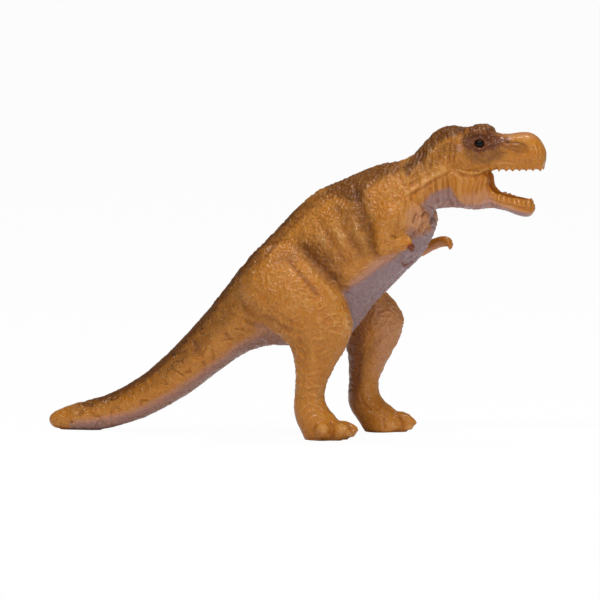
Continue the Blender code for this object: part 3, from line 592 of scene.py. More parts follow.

# Paint areas, painted light and shade among them: coat, zone, soft edge in dots, strength, outline in the
# picture
SPRAY_AREAS = (
    # back and hip
    ("brown", "body", 6.0, 0.50, (
        (215, 300), (228, 282), (240, 262), (262, 234), (285, 212), (306, 190), (322, 180), (345, 174),
        (345, 192), (328, 199), (312, 208), (298, 220), (284, 235), (268, 253), (256, 268), (247, 290),
        (236, 305), (222, 318))),
    ("brown", "body", 6.0, 0.78, (
        (322, 180), (345, 172), (362, 165), (380, 160), (400, 155), (402, 172), (386, 177), (376, 181),
        (368, 188), (364, 202), (354, 206), (345, 200), (335, 196), (324, 196))),
    ("brown", "body", 8.0, 0.62, (
        (350, 186), (365, 186), (367, 202), (373, 216), (380, 230), (379, 245), (373, 252), (366, 244),
        (360, 230), (352, 212), (346, 198))),
    ("brown", "body", 8.0, 0.34, (
        (334, 200), (352, 205), (363, 235), (370, 255), (358, 258), (345, 240), (333, 215))),
    # Brown paint deepened with painted shade in the hollow before the hip
    ("brown", "body", 8.0, 0.60, (
        (299, 238), (310, 239), (322, 245), (333, 253), (338, 264), (341, 274), (348, 289), (341, 292),
        (330, 281), (317, 269), (305, 257), (298, 248))),
    ("brown", "body", 9.0, 0.30, ((270, 262), (300, 240), (330, 232), (345, 262), (330, 270), (300, 262))),
    ("brown", "body", 8.0, 0.48, (
        (100, 396), (149, 370), (175, 348), (200, 321), (222, 292), (236, 276), (246, 296), (228, 324),
        (202, 350), (174, 372), (142, 391), (104, 406))),
    # neck and nape
    ("brown", "body", 4.0, 0.90, (
        (400, 168), (409, 160), (416, 148), (423, 138), (430, 128), (440, 121), (450, 119), (460, 120),
        (468, 124), (468, 131), (461, 135), (450, 138), (441, 142), (436, 147), (430, 155), (424, 161),
        (416, 168), (407, 177))),
    ("brown", "body", 6.0, 0.35, ((405, 172), (430, 150), (455, 138), (458, 150), (436, 164), (412, 182))),
    # brow, eye and snout
    ("brown", "body", 5.0, 1.00, (
        (463, 134), (470, 129), (480, 127.5), (490, 129), (498, 134), (504, 139), (502, 146), (495, 150),
        (487, 152.5), (478, 153.5), (470, 152), (464, 148), (461, 140))),
    ("brown", "body", 4.0, 0.95, (
        (466, 131), (469, 120), (480, 118), (492, 121), (499, 131), (490, 136), (475, 136))),
    ("brown", "body", 4.0, 0.34, (
        (497, 139), (506, 140), (516, 142), (526, 146), (528, 151), (520, 154), (510, 151), (500, 149),
        (494, 147))),
    ("brown", "body", 5.0, 0.58, (
        (464, 147), (490, 150), (500, 148), (507, 153), (499, 160), (486, 164), (472, 162), (464, 156))),
    ("claw_red_and_shade", "body", 6.0, 0.34, (
        (474, 131), (486, 128), (500, 134), (510, 141), (505, 148), (494, 151), (480, 153), (468, 151),
        (464, 141))),
    # Pinkish painted highlight along the top of the snout
    ("pink", "body", 2.5, 0.26, (
        (498, 134), (510, 132), (524, 131), (536, 136), (534, 139), (522, 137.5), (510, 138),
        (499, 138.5))),
    # belly and chest
    ("mauve", "body", 3.5, 1.00, (
        (433, 231), (446, 226), (446, 240), (438, 250), (424, 270), (400, 292), (384, 304), (372, 322),
        (362, 342), (349, 342), (351, 325), (350, 312), (347, 301), (344, 293), (352, 287), (364, 280),
        (374, 272), (386, 264), (396, 258), (403, 250), (410, 242), (416, 236), (424, 236))),
    ("mauve", "body", 2.5, 0.75, (
        (430, 206), (436, 206), (446, 212), (446, 232), (430, 234), (432, 226), (431, 218), (429, 212))),
    ("mauve", "body", 3.0, 0.42, (
        (407, 232), (412, 228), (418, 234), (428, 230), (432, 234), (424, 239), (408, 239))),
    ("pink", "body", 4.0, 0.42, ((406, 212), (414, 204), (428, 208), (432, 222), (428, 238), (408, 240))),
    ("pink", "body", 5.0, 0.88, (
        (344, 292), (352, 281), (364, 271), (376, 260), (388, 253), (404, 246), (400, 262), (372, 284),
        (350, 300))),
    ("mauve", "body", 5.0, 0.80, ((302, 338), (345, 318), (356, 340), (330, 362), (262, 358), (262, 350))),
    # throat and jaw
    ("mauve", "body", 2.5, 0.58, (
        (423, 206), (425, 202), (430, 196), (438, 191), (450, 188.5), (453, 193), (457, 200), (466, 205),
        (480, 206), (480, 216), (440, 214), (430, 216), (427, 210))),
    ("pink", "body", 2.5, 0.95, (
        (423, 206), (425, 202), (430, 196), (438, 191), (450, 188.5), (453, 193), (457, 200), (465, 203),
        (478, 203), (484, 199), (490, 199), (500, 204), (512, 208), (522, 211.5), (534, 214), (532, 224),
        (510, 222), (490, 216), (470, 216), (440, 214), (430, 216), (427, 210))),
    ("mauve", "body", 2.5, 0.82, (
        (480, 206), (490, 202.5), (502, 207.5), (514, 211), (524, 213.5), (532, 216), (532, 224),
        (510, 222), (490, 216))),
    ("pink", "body", 5.0, 0.45, ((460, 197), (474, 193), (486, 190), (494, 198), (490, 206), (462, 206))),
    # underside of the tail
    ("pink", "body", 4.0, 0.88, (
        (262, 330), (248, 338), (236, 345), (220, 357), (204, 369), (186, 382), (168, 393), (148, 404),
        (128, 412), (104, 417), (74, 421), (74, 436), (104, 430), (130, 424), (150, 416), (170, 405),
        (190, 393), (208, 380), (224, 368), (248, 352), (262, 343))),
    ("mauve", "body", 3.5, 0.45, (
        (298, 342), (285, 339), (276, 334), (268, 331), (258, 338), (248, 342.5), (238, 348), (222, 360),
        (206, 372), (188, 385), (170, 396), (150, 407), (130, 415), (105, 420), (70, 424), (70, 440),
        (112, 440), (144, 434), (170, 421), (196, 406), (220, 390), (245, 366), (264, 356), (298, 356))),
    ("pink", "body", 3.5, 0.60, (
        (300, 334), (285, 328), (272, 321), (262, 322), (254, 325), (258, 336), (268, 330), (276, 334),
        (300, 344))),
    # underside of the far arm
    ("pink", "left_arm", 3.0, 0.55, (
        (424, 258), (428, 247), (440, 240.5), (446, 243), (440, 250), (430, 260))),
    # claws, and painted light on the far leg: a painted lighter knee, and painted shade down its shaded side
    ("claw_red_and_shade", "right_arm", 1.2, 1.00, (
        (407.5, 245.0), (411, 243.5), (417, 244), (418, 254), (408, 254), (406.6, 249))),
    ("pink", "left_leg", 8.0, 0.38, (
        (370, 302), (390, 296), (404, 312), (403, 332), (392, 356), (382, 374), (372, 372), (376, 340))),
    ("claw_red_and_shade", "left_leg", 8.0, 0.50, (
        (340, 300), (376, 290), (372, 318), (366, 340), (362, 372), (360, 402), (352, 412), (340, 380))),
    ("brown", "left_leg", 6.0, 0.42, (
        (344, 300), (376, 292), (374, 304), (367, 318), (363, 334), (362, 352), (357, 372), (344, 372))),
)


# Ribs of the lower teeth on the jaw's side: places of the first and the last, how many, and length in dots
TOOTH_RIBS = ((499.0, 193.0), (529.5, 199.6), 7, 8.5)


def tooth_ribs():
    """Ridges of the lower teeth and the creases between them."""
    first, last, count, size = TOOTH_RIBS
    ridges, creases = [], []
    for i in np.arange(0.0, count - 0.4, 0.5):
        share = i / (count - 1)
        px = first[0] + (last[0] - first[0]) * share
        py = first[1] + (last[1] - first[1]) * share
        places = ((px + 0.3, py + 1.8), (px - 0.2, py + size / 2), (px - 0.3, py + size))
        if i % 1.0:
            creases.append(("body", 0.8, -0.34, places))
        else:
            ridges.append(("body", 1.5, 0.28, places))
    return creases, ridges


# How far the left foot stands ahead of the right, and the height at which the legs stand alike
STEP = 0.013
KNEE = 0.052
ZONES = ("body", "near_body", "right_leg", "left_leg", "right_arm", "left_arm")


class Drawing:
    """Where every corner of the skin shows in the picture, from its own side or mirrored, by zone."""

    def __init__(self, skin, view, labels):
        self.view = view
        self.sets = {zone: [] for zone in ZONES}
        back = view_axes(view)[2]
        mirror = np.array([1.0, -1.0, 1.0])
        n = skin.normals()
        left_side = skin.co[:, 1] > 0.0
        mirrored = skin.co * mirror
        facing = n @ back
        facing_mirrored = (n * mirror) @ back
        seen = soft(facing, -0.1, 0.25)
        seen_mirrored = soft(facing_mirrored, -0.1, 0.25)
        limbs = {name: labels == SKIN_NODES.index(name) for name in ZONES[2:]}
        legs = limbs["right_leg"] | limbs["left_leg"]
        arms = limbs["right_arm"] | limbs["left_arm"]
        body = 1.0 - (legs | arms).astype(float)
        body = np.maximum(body, legs * soft(skin.co[:, 2], 0.045, 0.055))
        body = np.maximum(body, arms * soft(-skin.co[:, 0], -0.031, -0.026))
        for _ in range(4):
            body = skin.mean(body)
        own = np.where(left_side, facing_mirrored, facing)
        self.add("body", np.where(left_side[:, None], mirrored, skin.co), body * soft(own, -0.6, -0.25))
        self.add("near_body", skin.co, body * seen * ~left_side)
        spread = {name: skin.mean(skin.mean(limb.astype(float))) for name, limb in limbs.items()}
        stride = STEP * np.clip(1.0 - skin.co[:, 2] / KNEE, 0.0, 1.0)
        step = np.stack([stride, 0 * stride, 0 * stride], 1)
        for leg, other, ahead in (("right_leg", "left_leg", -step), ("left_leg", "right_leg", step)):
            self.add(leg, skin.co, spread[leg] * seen)
            self.add(leg, mirrored + ahead, spread[other] * seen_mirrored)
        for arm in ("right_arm", "left_arm"):
            self.add(arm, skin.co, spread[arm])

    def add(self, zone, places, weight):
        which = np.nonzero(weight > 0.01)[0]
        x, y = in_picture(places[which], self.view)
        self.sets[zone].append((which, x, y, weight[which]))

    def line(self, out, zones, width, height, places, blend):
        """Blends a soft line into the values in out."""
        low, high = np.min(places, 0) - width * 2.5, np.max(places, 0) + width * 2.5
        for which, x, y, weight in (part for zone in zones.split() for part in self.sets[zone]):
            near = (x > low[0]) & (x < high[0]) & (y > low[1]) & (y < high[1])
            if not near.any():
                continue
            d, run = along(x[near], y[near], places)
            ends = soft(run, -0.02, 0.12) * soft(1.0 - run, -0.02, 0.12)
            value = height * np.exp(-(d / width) ** 2) * weight[near] * ends
            out[which[near]] = blend(out[which[near]], value)

    def area(self, out, zone, edge, strength, places):
        """Fills an outline softly, where the values in out are not stronger already."""
        ring = (*places, places[0])
        low, high = np.min(places, 0) - edge, np.max(places, 0) + edge
        for which, x, y, weight in self.sets[zone]:
            near = (x > low[0]) & (x < high[0]) & (y > low[1]) & (y < high[1])
            if not near.any():
                continue
            px, py = x[near], y[near]
            d = along(px, py, ring)[0]
            share = soft(np.where(within(px, py, ring), d, -d), -edge, edge)
            out[which[near]] = np.maximum(out[which[near]], strength * share * weight[near])

    def swell(self, out, zone, centre, radii, turn, height):
        c, s = math.cos(math.radians(turn)), math.sin(math.radians(turn))
        for which, x, y, weight in self.sets[zone]:
            dx, dy = x - centre[0], y - centre[1]
            d = ((dx * c + dy * s) / radii[0]) ** 2 + ((dy * c - dx * s) / radii[1]) ** 2
            out[which] += height * np.clip(1.0 - d, 0.0, 1.0) ** 1.5 * weight


# Regions and grain

def section_of_each(skin):
    """Which section of the figure each corner of the skin belongs to."""
    bm = bmesh.new()
    owner = []
    for i, name in enumerate(SKIN_NODES):
        bm.from_mesh(frame["nodes"][name].data)
        owner += [i] * (len(bm.faces) - len(owner))
    tree = BVHTree.FromBMesh(bm)
    bm.free()
    owner = np.array(owner)
    return owner[[tree.find_nearest(Vector(p))[2] for p in skin.co]]


def regions(skin, labels):
    """Soft shares of the body regions over the skin."""
    x, y, z = (skin.co / MM).T
    spread = {name: skin.mean(skin.mean((labels == i).astype(float))) for i, name in enumerate(SKIN_NODES)}
    legs = spread["right_leg"] + spread["left_leg"]
    return {
        "neck": soft(x, 33.0, 38.0) * (1.0 - soft(x, 48.0, 53.0)) * soft(z, 66.0, 70.0),
        "throat": soft(x, 38.0, 42.0) * (1.0 - soft(z, 82.0, 86.0)) * soft(z, 68.0, 71.0),
        "head": soft(x, 48.0, 54.0) * soft(z, 82.0, 85.0),
        "snout": soft(x, 66.0, 70.0),
        "tail": spread["tail"],
        "shank": legs * (1.0 - soft(z, 20.0, 30.0)),
        "feet": legs * (1.0 - soft(z, 9.0, 14.0)),
        "arms": (spread["right_arm"] + spread["left_arm"]) * soft(x, 35.0, 38.0),
    }


# Inside of the mouth in mm: place along the jaw, half width of its hollow there, and half width of the palate
MOUTH_FLOOR = ((58.0, 1.5), (60.0, 3.4), (62.0, 4.1), (64.0, 4.0), (68.0, 3.5), (71.0, 3.1), (74.0, 2.3),
               (75.5, 1.0))
PALATE = 3.4


def mouth_share(skin):
    """How far each corner of the skin lies inside the mouth."""
    x, y, z = (skin.co / MM).T
    wall = np.interp(x, *zip(*MOUTH_FLOOR))
    floor = soft(wall - np.abs(y), -0.3, 0.4) * soft(z, 73.0, 73.8) * (1.0 - soft(z, 83.6, 84.6))
    roof = soft(PALATE - np.abs(y), -0.2, 0.5) * soft(z, 82.5, 83.5) * (1.0 - soft(z, 88.2, 88.8))
    roof = roof * (1.0 - soft(x, 76.5, 78.0))
    return np.maximum(floor, roof) * soft(x, 58.0, 59.0)


def grain_of_skin(skin, parts):
    """Scales, curls and stretched wrinkles, in millimetres outward."""
    p = skin.co / MM
    warp = np.stack([wander(p / 3.1, 11), wander(p / 3.1, 12), wander(p / 3.1, 13)], 1)
    near, following = pebbles((p + warp * 0.7) / 1.6, 3)
    stones = np.clip((following - near) / 0.45, 0.0, 1.0) - 0.6
    curls = np.maximum(0.8 - np.abs(wander((p + warp * 1.4) / 1.6, 21)) * 3.6, -0.3)
    stretched = 1.0 - np.abs(wander((p + warp * 0.6) / np.array([1.25, 1.6, 8.0]), 22)) * 2.0
    rings = np.maximum(0.6 - np.abs(wander((p + warp * 0.9) / np.array([4.0, 4.0, 1.5]), 23)) * 2.4, -0.3)
    rows = np.maximum(0.6 - np.abs(wander((p + warp * 1.2) / np.array([2.6, 1.8, 1.7]), 24)) * 2.4, -0.3)
    lumps = wander(p / 4.5, 31)
    arcs = np.clip(0.6 - np.abs(wander((p + warp * 1.4) / 3.0, 25)) * 2.4, 0.0, 0.5)
    pits = arcs * soft(wander(p / 2.4, 26), -0.05, 0.15)
    out = stones * 0.10 + curls * 0.32 + lumps * 0.12
    for name, value in (("neck", stretched * 0.34 + curls * 0.10 + lumps * 0.10),
                        ("throat", stretched * 0.34 + lumps * 0.08),
                        ("head", stones * 0.16 + curls * 0.18 + lumps * 0.10),
                        ("snout", lumps * 0.12 + rows * 0.10),
                        ("tail", stones * 0.05 + rows * 0.10 + curls * 0.05 + lumps * 0.10 - pits * 0.90),
                        ("shank", rings * 0.18 + curls * 0.12 + lumps * 0.08),
                        ("feet", rings * 0.07 + lumps * 0.08),
                        ("arms", rings * 0.10 + lumps * 0.06)):
        out = out * (1.0 - parts[name]) + value * parts[name]
    return out


def rounded_skin(settings):
    """The joined skin with its facets and seams smoothed, and the section that each corner belongs to."""
    skin = Skin(joined_skin(settings))
    labels = section_of_each(skin)
    x, y, z = (skin.co / MM).T
    arms = [SKIN_NODES.index(name) for name in ("right_arm", "left_arm")]
    mouth = soft(x, 58.0, 61.0) * (1.0 - soft(z, 87.5, 88.5)) * soft(z, 70.0, 72.0)
    held = np.maximum(np.isin(labels, arms), mouth * 0.5)
    held = np.maximum(held, 1.0 - soft(x, -78.0, -70.0))
    for _ in range(4):
        held = skin.mean(held)
    skin.smooth(settings.rounding, 0.5 * (1.0 - held * 0.75))
    for steps, width, start, seam in BLENDED_SEAMS:
        outer = soft(np.abs(y), start, start + 4.0)
        skin.smooth(steps, 0.5 * np.exp(-(along(x, z, seam)[0] / width) ** 2) * outer)
    skin.push(-settings.overlap, 2)
    return skin, labels


def drawn_relief(skin, drawing):
    """Folds, wrinkles, tooth ribs and swells, in millimetres outward."""
    swells, folds, rises = np.zeros((3, len(skin.co)))
    for zone, centre, radii, turn, height in SWELLS:
        drawing.swell(swells, zone, centre, radii, turn, height)
    creases, ridges = tooth_ribs()
    for zones, width, height, places in (*CREASES, *creases):
        drawing.line(folds, zones, width, height, places, np.minimum)
    for zones, width, height, places in (*RIDGES, *ridges):
        drawing.line(rises, zones, width, height, places, np.maximum)
    return swells + (folds + rises)


# How far the fine bumps of the finish are held back, by region
CALM_SHARE = {"snout": 0.8, "arms": 0.75, "throat": 0.5, "feet": 0.7}


def sculpted_skin(settings, view):
    """The skin with its relief, the drawing that its paint follows, and the values that its finish reads."""
    skin, labels = rounded_skin(settings)
    drawing = Drawing(skin, view, labels)
    relief = drawn_relief(skin, drawing)
    parts = regions(skin, labels)
    mouth = mouth_share(skin)
    grain = grain_of_skin(skin, parts) * (1.0 - 0.7 * mouth)
    above_sole = soft(skin.co[:, 2], 0.0004, 0.0016)
    skin.push((relief + grain) * settings.relief * MM * above_sole, 1)
    skin.co = np.clip(skin.co, *(np.array(c) for c in CAD_BOX))
    skin.co[:, 2] = np.where(skin.co[:, 2] < 0.00025, 0.0, skin.co[:, 2])
    skin.write()
    calm = sum(parts[name] * share for name, share in CALM_SHARE.items()) + mouth
    return skin, drawing, {"height": relief / 0.5 + grain / 0.5, "grain": 1.0 - np.clip(calm, 0.0, 0.9),
                           "amber": mouth}


# Finishes

class Wire:
    """A socket whose value is used in arithmetic."""

    def __init__(self, finish, socket):
        self.finish = finish
        self.socket = socket

    def math(self, operation, first, second=0.0, clamp=False):
        node = self.finish.node("ShaderNodeMath", {"operation": operation, "use_clamp": clamp},
                                {0: first, 1: second})
        return Wire(self.finish, node.outputs[0])

    def __add__(self, other):
        return self.math("ADD", self, other)

    def __radd__(self, other):
        return self.math("ADD", other, self)

    def __sub__(self, other):
        return self.math("SUBTRACT", self, other)

    def __rsub__(self, other):
        return self.math("SUBTRACT", other, self)

    def __mul__(self, other):
        return self.math("MULTIPLY", self, other)

    def __rmul__(self, other):
        return self.math("MULTIPLY", other, self)

    def away(self):
        """How far the value is from 0."""
        return self.math("ABSOLUTE", self)

    def clamped(self):
        """The value held between 0 and 1."""
        return self.math("ADD", self, 0.0, clamp=True)


class Finish:
    """A material, or the world, under construction."""

    def __init__(self, owner):
        self.owner = owner
        owner.use_nodes = True
        self.tree = owner.node_tree
        self.tree.nodes.clear()

    def node(self, kind, settings=None, inputs=None):
        node = self.tree.nodes.new(kind)
        for key, value in (settings or {}).items():
            setattr(node, key, value)
        for key, value in (inputs or {}).items():
            if isinstance(value, Wire):
                self.tree.links.new(value.socket, node.inputs[key])
            else:
                node.inputs[key].default_value = value
        return node

    def wire(self, kind, output, settings=None, inputs=None):
        return Wire(self, self.node(kind, settings, inputs).outputs[output])

    def paint(self, name):
        return self.wire("ShaderNodeAttribute", "Fac", {"attribute_name": name})

    def noise(self, size, detail, roughness=0.55):
        """Noise from 0 to 1 whose swings are about size metres across."""
        place = self.wire("ShaderNodeTexCoord", "Object")
        inputs = {"Vector": place, "Scale": 1.0 / size, "Detail": detail, "Roughness": roughness}
        return self.wire("ShaderNodeTexNoise", "Fac", None, inputs)

    def curls(self, size, slimness):
        """Winding ridges about size metres apart: 1 on the ridge, 0 between."""
        return (1.0 - (self.noise(size, 1.0) - 0.5).away() * slimness).clamped()

    def mix(self, factor, first, second):
        colours = [c if isinstance(c, Wire) else (*c, 1.0) for c in (first, second)]
        node = self.node("ShaderNodeMix", {"data_type": "RGBA"}, {0: factor})
        for index, colour in zip((6, 7), colours):
            if isinstance(colour, Wire):
                self.tree.links.new(colour.socket, node.inputs[index])
            else:
                node.inputs[index].default_value = colour
        return Wire(self, node.outputs[2])

    def bump(self, height, distance, strength):
        inputs = {"Height": height, "Distance": distance, "Strength": strength}
        return self.wire("ShaderNodeBump", "Normal", None, inputs)

    def surface(self, **sockets):
        names = {k.replace("_", " ").title().replace("Ior", "IOR"): v for k, v in sockets.items()}
        shader = self.wire("ShaderNodeBsdfPrincipled", "BSDF", None, names)
        return self.made("ShaderNodeOutputMaterial", shader)

    def made(self, output, shader):
        """The material or world, once its shader reaches the output."""
        self.node(output, None, {"Surface": shader})
        return self.owner


def pvc_finish(paint):
    """Waxy ochre PVC with sprayed brown and mauve, paler on scale tops as wear and as a painted highlight,
    and deeper in the folds as painted shade.
    """
    f = Finish(bpy.data.materials.new("ochre_pvc_skin"))
    height, grain = f.paint("height"), f.paint("grain")
    brown, mauve = f.paint("brown"), f.paint("mauve")
    pink, amber, claw_red_and_shade = f.paint("pink"), f.paint("amber"), f.paint("claw_red_and_shade")
    clouds = f.noise(0.012, 2.0)
    drift = f.noise(0.0026, 2.0)
    curls = f.curls(0.0021, 8.0)
    fine = f.curls(0.0010, 8.0)
    fold = (height * -1.0 - 0.10).clamped()
    top = (height - 0.10).clamped()
    colour = f.mix((clouds - 0.38).clamped() * 0.55, tuple(paint.ochre), tuple(paint.pale))
    colour = f.mix((drift - 0.48).clamped() * 0.5, colour, tuple(paint.deep_tone_and_fold_shade))
    # Painted shade: the colour deepens in the folds and between the scales, where shade falls
    colour = f.mix((fold * 0.9).clamped() * 0.7, colour, tuple(paint.deep_tone_and_fold_shade))
    # Scale tops and curls turn paler: partly wear, partly a painted highlight where light would catch them
    wear_and_highlight = (top * 0.60 + (curls * 0.18 + fine * 0.06) * grain).clamped()
    colour = f.mix(wear_and_highlight, colour, tuple(paint.pale))
    # Pink and mauve thin out in the folds, which lets the painted shade beneath show
    flush = (pink * (1.0 + (drift - 0.5) * 1.2) - fold * 0.2 * pink).clamped()
    colour = f.mix(flush * 0.9, colour, tuple(paint.pink))
    edge = mauve * (1.0 - mauve) * 4.0
    colour = f.mix((edge * (0.9 + (drift - 0.5) * 1.5)).clamped() * 0.8, colour, tuple(paint.blush))
    cover = (mauve * (1.12 + (drift - 0.5) * 0.7) - fold * 0.12 * mauve).clamped()
    colour = f.mix(cover * 0.94, colour, tuple(paint.mauve))
    rim = brown * (1.0 - brown)
    # Brown gathers in the folds as painted shade, and thins on the scale tops as wear and painted highlight
    spray = (brown * (1.06 - wear_and_highlight * 0.30 + fold * 0.20) + (drift - 0.5) * rim * 2.4).clamped()
    colour = f.mix(spray * 0.96, colour, tuple(paint.brown))
    colour = f.mix(amber.clamped(), colour, tuple(paint.amber))
    colour = f.mix(claw_red_and_shade, colour, tuple(paint.claw_red_and_shade))
    normal = f.bump((curls + fine * 0.5) * (0.12 + grain * 0.88), 0.0002, 0.85)
    roughness = (0.25 + (drift - 0.5) * 0.2 + fold * 0.15 - top * 0.12).clamped()
    return f.surface(base_color=colour, roughness=roughness, normal=normal,
                     subsurface_weight=0.2, subsurface_radius=(1.0, 0.32, 0.1),
                     subsurface_scale=0.0012, specular_ior_level=0.34)


def eye_finish(paint):
    """Deep glossy black with a faint warm cast and a little dust."""
    f = Finish(bpy.data.materials.new("black_gloss_eye"))
    cast = f.noise(0.0012, 3.0)
    colour = f.mix((cast - 0.35).clamped(), tuple(paint.eye), tuple(paint.eye_cast))
    roughness = 0.03 + f.noise(0.0005, 2.0) * 0.05
    normal = f.bump(f.noise(0.002, 1.0), 0.00004, 0.3)
    return f.surface(base_color=colour, roughness=roughness, normal=normal, specular_ior_level=0.15)


def finish_of(name, maker):
    """The finish of that name, made once."""
    return bpy.data.materials.get(name) or maker(bpy.context.scene.figure_paint)


# Sections

PAINTS = ("brown", "mauve", "pink", "amber", "claw_red_and_shade", "height", "grain")


def values_of(mesh, name):
    return read(mesh.attributes[name].data, "value", 1, np.float32)


def made_skin():
    skin = bpy.data.objects.get("joined_skin")
    if skin is None:
        raise RuntimeError("the joined skin is made first")
    return skin


def cut(mesh, cutter, operation):
    """New mesh: the part of mesh inside or outside cutter."""
    obj = linked("blank", mesh)
    step = obj.modifiers.new("cut", "BOOLEAN")
    step.operation = operation
    step.solver = "MANIFOLD"
    step.object = cutter
    made = baked_object(obj)
    bpy.data.objects.remove(obj)
    if not len(made.polygons):
        raise RuntimeError(f"nothing is left after {cutter.name}")
    return made


def block(name, corners, depth=0.04):
    """Straight block through the figure with its outline in the side plane, in metres."""
    bm = bmesh.new()
    sides = [[bm.verts.new((x, side, z)) for x, z in corners] for side in (-depth, depth)]
    for ring in sides:
        bm.faces.new(ring)
    for i in range(len(corners)):
        j = (i + 1) % len(corners)
        bm.faces.new((sides[0][i], sides[0][j], sides[1][j], sides[1][i]))
    bmesh.ops.recalc_face_normals(bm, faces=bm.faces)
    bmesh.ops.triangulate(bm, faces=[p for p in bm.faces if len(p.verts) > 4])
    return linked(name, mesh_from(bm, name))


def side_place(px, py, view, beside=-0.007):
    """X and Z of the point at that picture place, on a plane beside the middle of the figure."""
    right, up, back = view_axes(view)
    x, z = 0.0, 0.05
    for _ in range(6):
        qx, qy = in_picture(np.array([[x, beside, z]]), view)
        x += (px - qx[0]) * view.dot / math.cos(view.azimuth)
        z += (qy[0] - py) * view.dot / math.cos(view.elevation)
    return x, z


# Where the skin is parted: how far each limb's solid is grown, in metres, the outlines in the side plane, in
# metres, of the blocks that hold the tail and the head, and the outline in the picture of the lower jaw's
LIMB_ROOMS = {"right_leg": 0.0012, "left_leg": 0.0012, "right_arm": 0.0009, "left_arm": 0.0009}
TAIL_CUT = ((-0.1, -0.01), (-0.0035, -0.01), (-0.0149, 0.0262), (-0.0266, 0.0414), (-0.04, 0.07),
            (-0.1, 0.07))
HEAD_CUT = ((0.0333, 0.0999), (0.0355, 0.088), (0.0444, 0.0697), (0.047, 0.064), (0.1, 0.064), (0.1, 0.12),
            (0.0333, 0.12))
JAW_CUT = ((600, 178.5), (489, 178.5), (487.5, 174.0), (485, 172.6), (478, 175.8), (470, 176.4), (463, 175.2),
           (457, 172.6), (452.5, 173), (453, 182), (454, 192), (456, 202), (457, 232), (600, 232))


def cutters(view):
    """The blocks and grown limbs along which the skin is parted, made once."""
    if "tail_room" not in bpy.data.objects:
        for name, growth in LIMB_ROOMS.items():
            linked(name + "_room", solid_copy(name, growth))
        block("tail_room", TAIL_CUT)
        block("head_room", HEAD_CUT)
        block("lower_jaw_room", [side_place(x, y, view) for x, y in JAW_CUT])
    return bpy.data.objects


def mend_cut_line(mesh, skin):
    """Gives corners that a cut has made the paint of the skin beside them."""
    kept = values_of(mesh, "kept")
    new = np.nonzero(kept < 0.999)[0]
    if not len(new):
        return
    tree = KDTree(len(skin.data.vertices))
    for i, p in enumerate(read(skin.data.vertices, "co", 3)):
        tree.insert(p, i)
    tree.balance()
    found = [tree.find_n(p, 3) for p in read(mesh.vertices, "co", 3)[new]]
    near = np.array([[i for _, i, _ in three] for three in found])
    weight = 1.0 / (np.array([[d for _, _, d in three] for three in found]) + 1e-6)
    weight /= weight.sum(1, keepdims=True)
    for name in PAINTS:
        values = values_of(mesh, name)
        source = values_of(skin.data, name)
        values[new] = (source[near] * weight).sum(1)
        mesh.attributes[name].data.foreach_set("value", values)


def section(name, mesh, finish):
    """A named piece from its part of the skin, shaded as the unbroken skin is."""
    skin = made_skin()
    biggest_body(mesh)
    mend_cut_line(mesh, skin)
    mesh.attributes.remove(mesh.attributes["kept"])
    mesh.shade_smooth()
    obj = linked(name, mesh)
    step = obj.modifiers.new("shade", "DATA_TRANSFER")
    step.object = skin
    step.use_loop_data = True
    step.data_types_loops = {"CUSTOM_NORMAL"}
    step.loop_mapping = "POLYINTERP_NEAREST"
    shaded = baked_object(obj)
    obj.modifiers.remove(step)
    obj.data = shaded
    bpy.data.meshes.remove(mesh)
    shaded.name = name
    shaded.materials.clear()
    shaded.materials.append(finish)
    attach(obj, "root")
    return obj


class FIGURE_OT_skin(bpy.types.Operator):
    """Joins the sections into one skin and models scales, folds, wrinkles and paint on it"""
    bl_idname = "figure.skin"
    bl_label = "Skin"

    def execute(self, context):
        scene = context.scene
        skin, drawing, found = sculpted_skin(scene.figure_skin, scene.figure_view)
        masks = {name: found.get(name, np.zeros(len(skin.co))) for name in PAINTS}
        for coat, zone, width, strength, places in SPRAY_LINES:
            drawing.line(masks[coat], zone, width, strength, places, np.maximum)
        for coat, zone, edge, strength, places in SPRAY_AREAS:
            drawing.area(masks[coat], zone, edge, strength, places)
        masks["kept"] = np.ones(len(skin.co))
        for name, values in masks.items():
            attribute = skin.mesh.attributes.new(name, "FLOAT", "POINT")
            attribute.data.foreach_set("value", values.astype(np.float32))
        skin.mesh.shade_smooth()
        linked("joined_skin", skin.mesh)
        return {"FINISHED"}


class FIGURE_OT_trunk(bpy.types.Operator):
    """Parts torso and tail from the skin"""
    bl_idname = "figure.trunk"
    bl_label = "Torso and tail"

    def execute(self, context):
        made = cutters(context.scene.figure_view)
        finish = finish_of("ochre_pvc_skin", pvc_finish)
        whole = made_skin().data
        tail = cut(whole, made["tail_room"], "INTERSECT")
        torso = cut(whole, made["tail_room"], "DIFFERENCE")
        for name in ("head_room", "right_leg_room", "left_leg_room", "right_arm_room", "left_arm_room"):
            torso = cut(torso, made[name], "DIFFERENCE")
        for side in ("right_leg_room", "left_leg_room"):
            tail = cut(tail, made[side], "DIFFERENCE")
        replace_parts(section("torso_skin", torso, finish), "torso")
        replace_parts(section("tail_skin", tail, finish), "tail")
        return {"FINISHED"}


class FIGURE_OT_head(bpy.types.Operator):
    """Parts head and lower jaw from the skin"""
    bl_idname = "figure.head"
    bl_label = "Head and lower jaw"

    def execute(self, context):
        made = cutters(context.scene.figure_view)
        finish = finish_of("ochre_pvc_skin", pvc_finish)
        whole = cut(made_skin().data, made["head_room"], "INTERSECT")
        head = cut(whole, made["lower_jaw_room"], "DIFFERENCE")
        jaw = cut(whole, made["lower_jaw_room"], "INTERSECT")
        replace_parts(section("head_skin", head, finish), "head")
        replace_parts(section("lower_jaw_skin", jaw, finish), "lower_jaw")
        return {"FINISHED"}


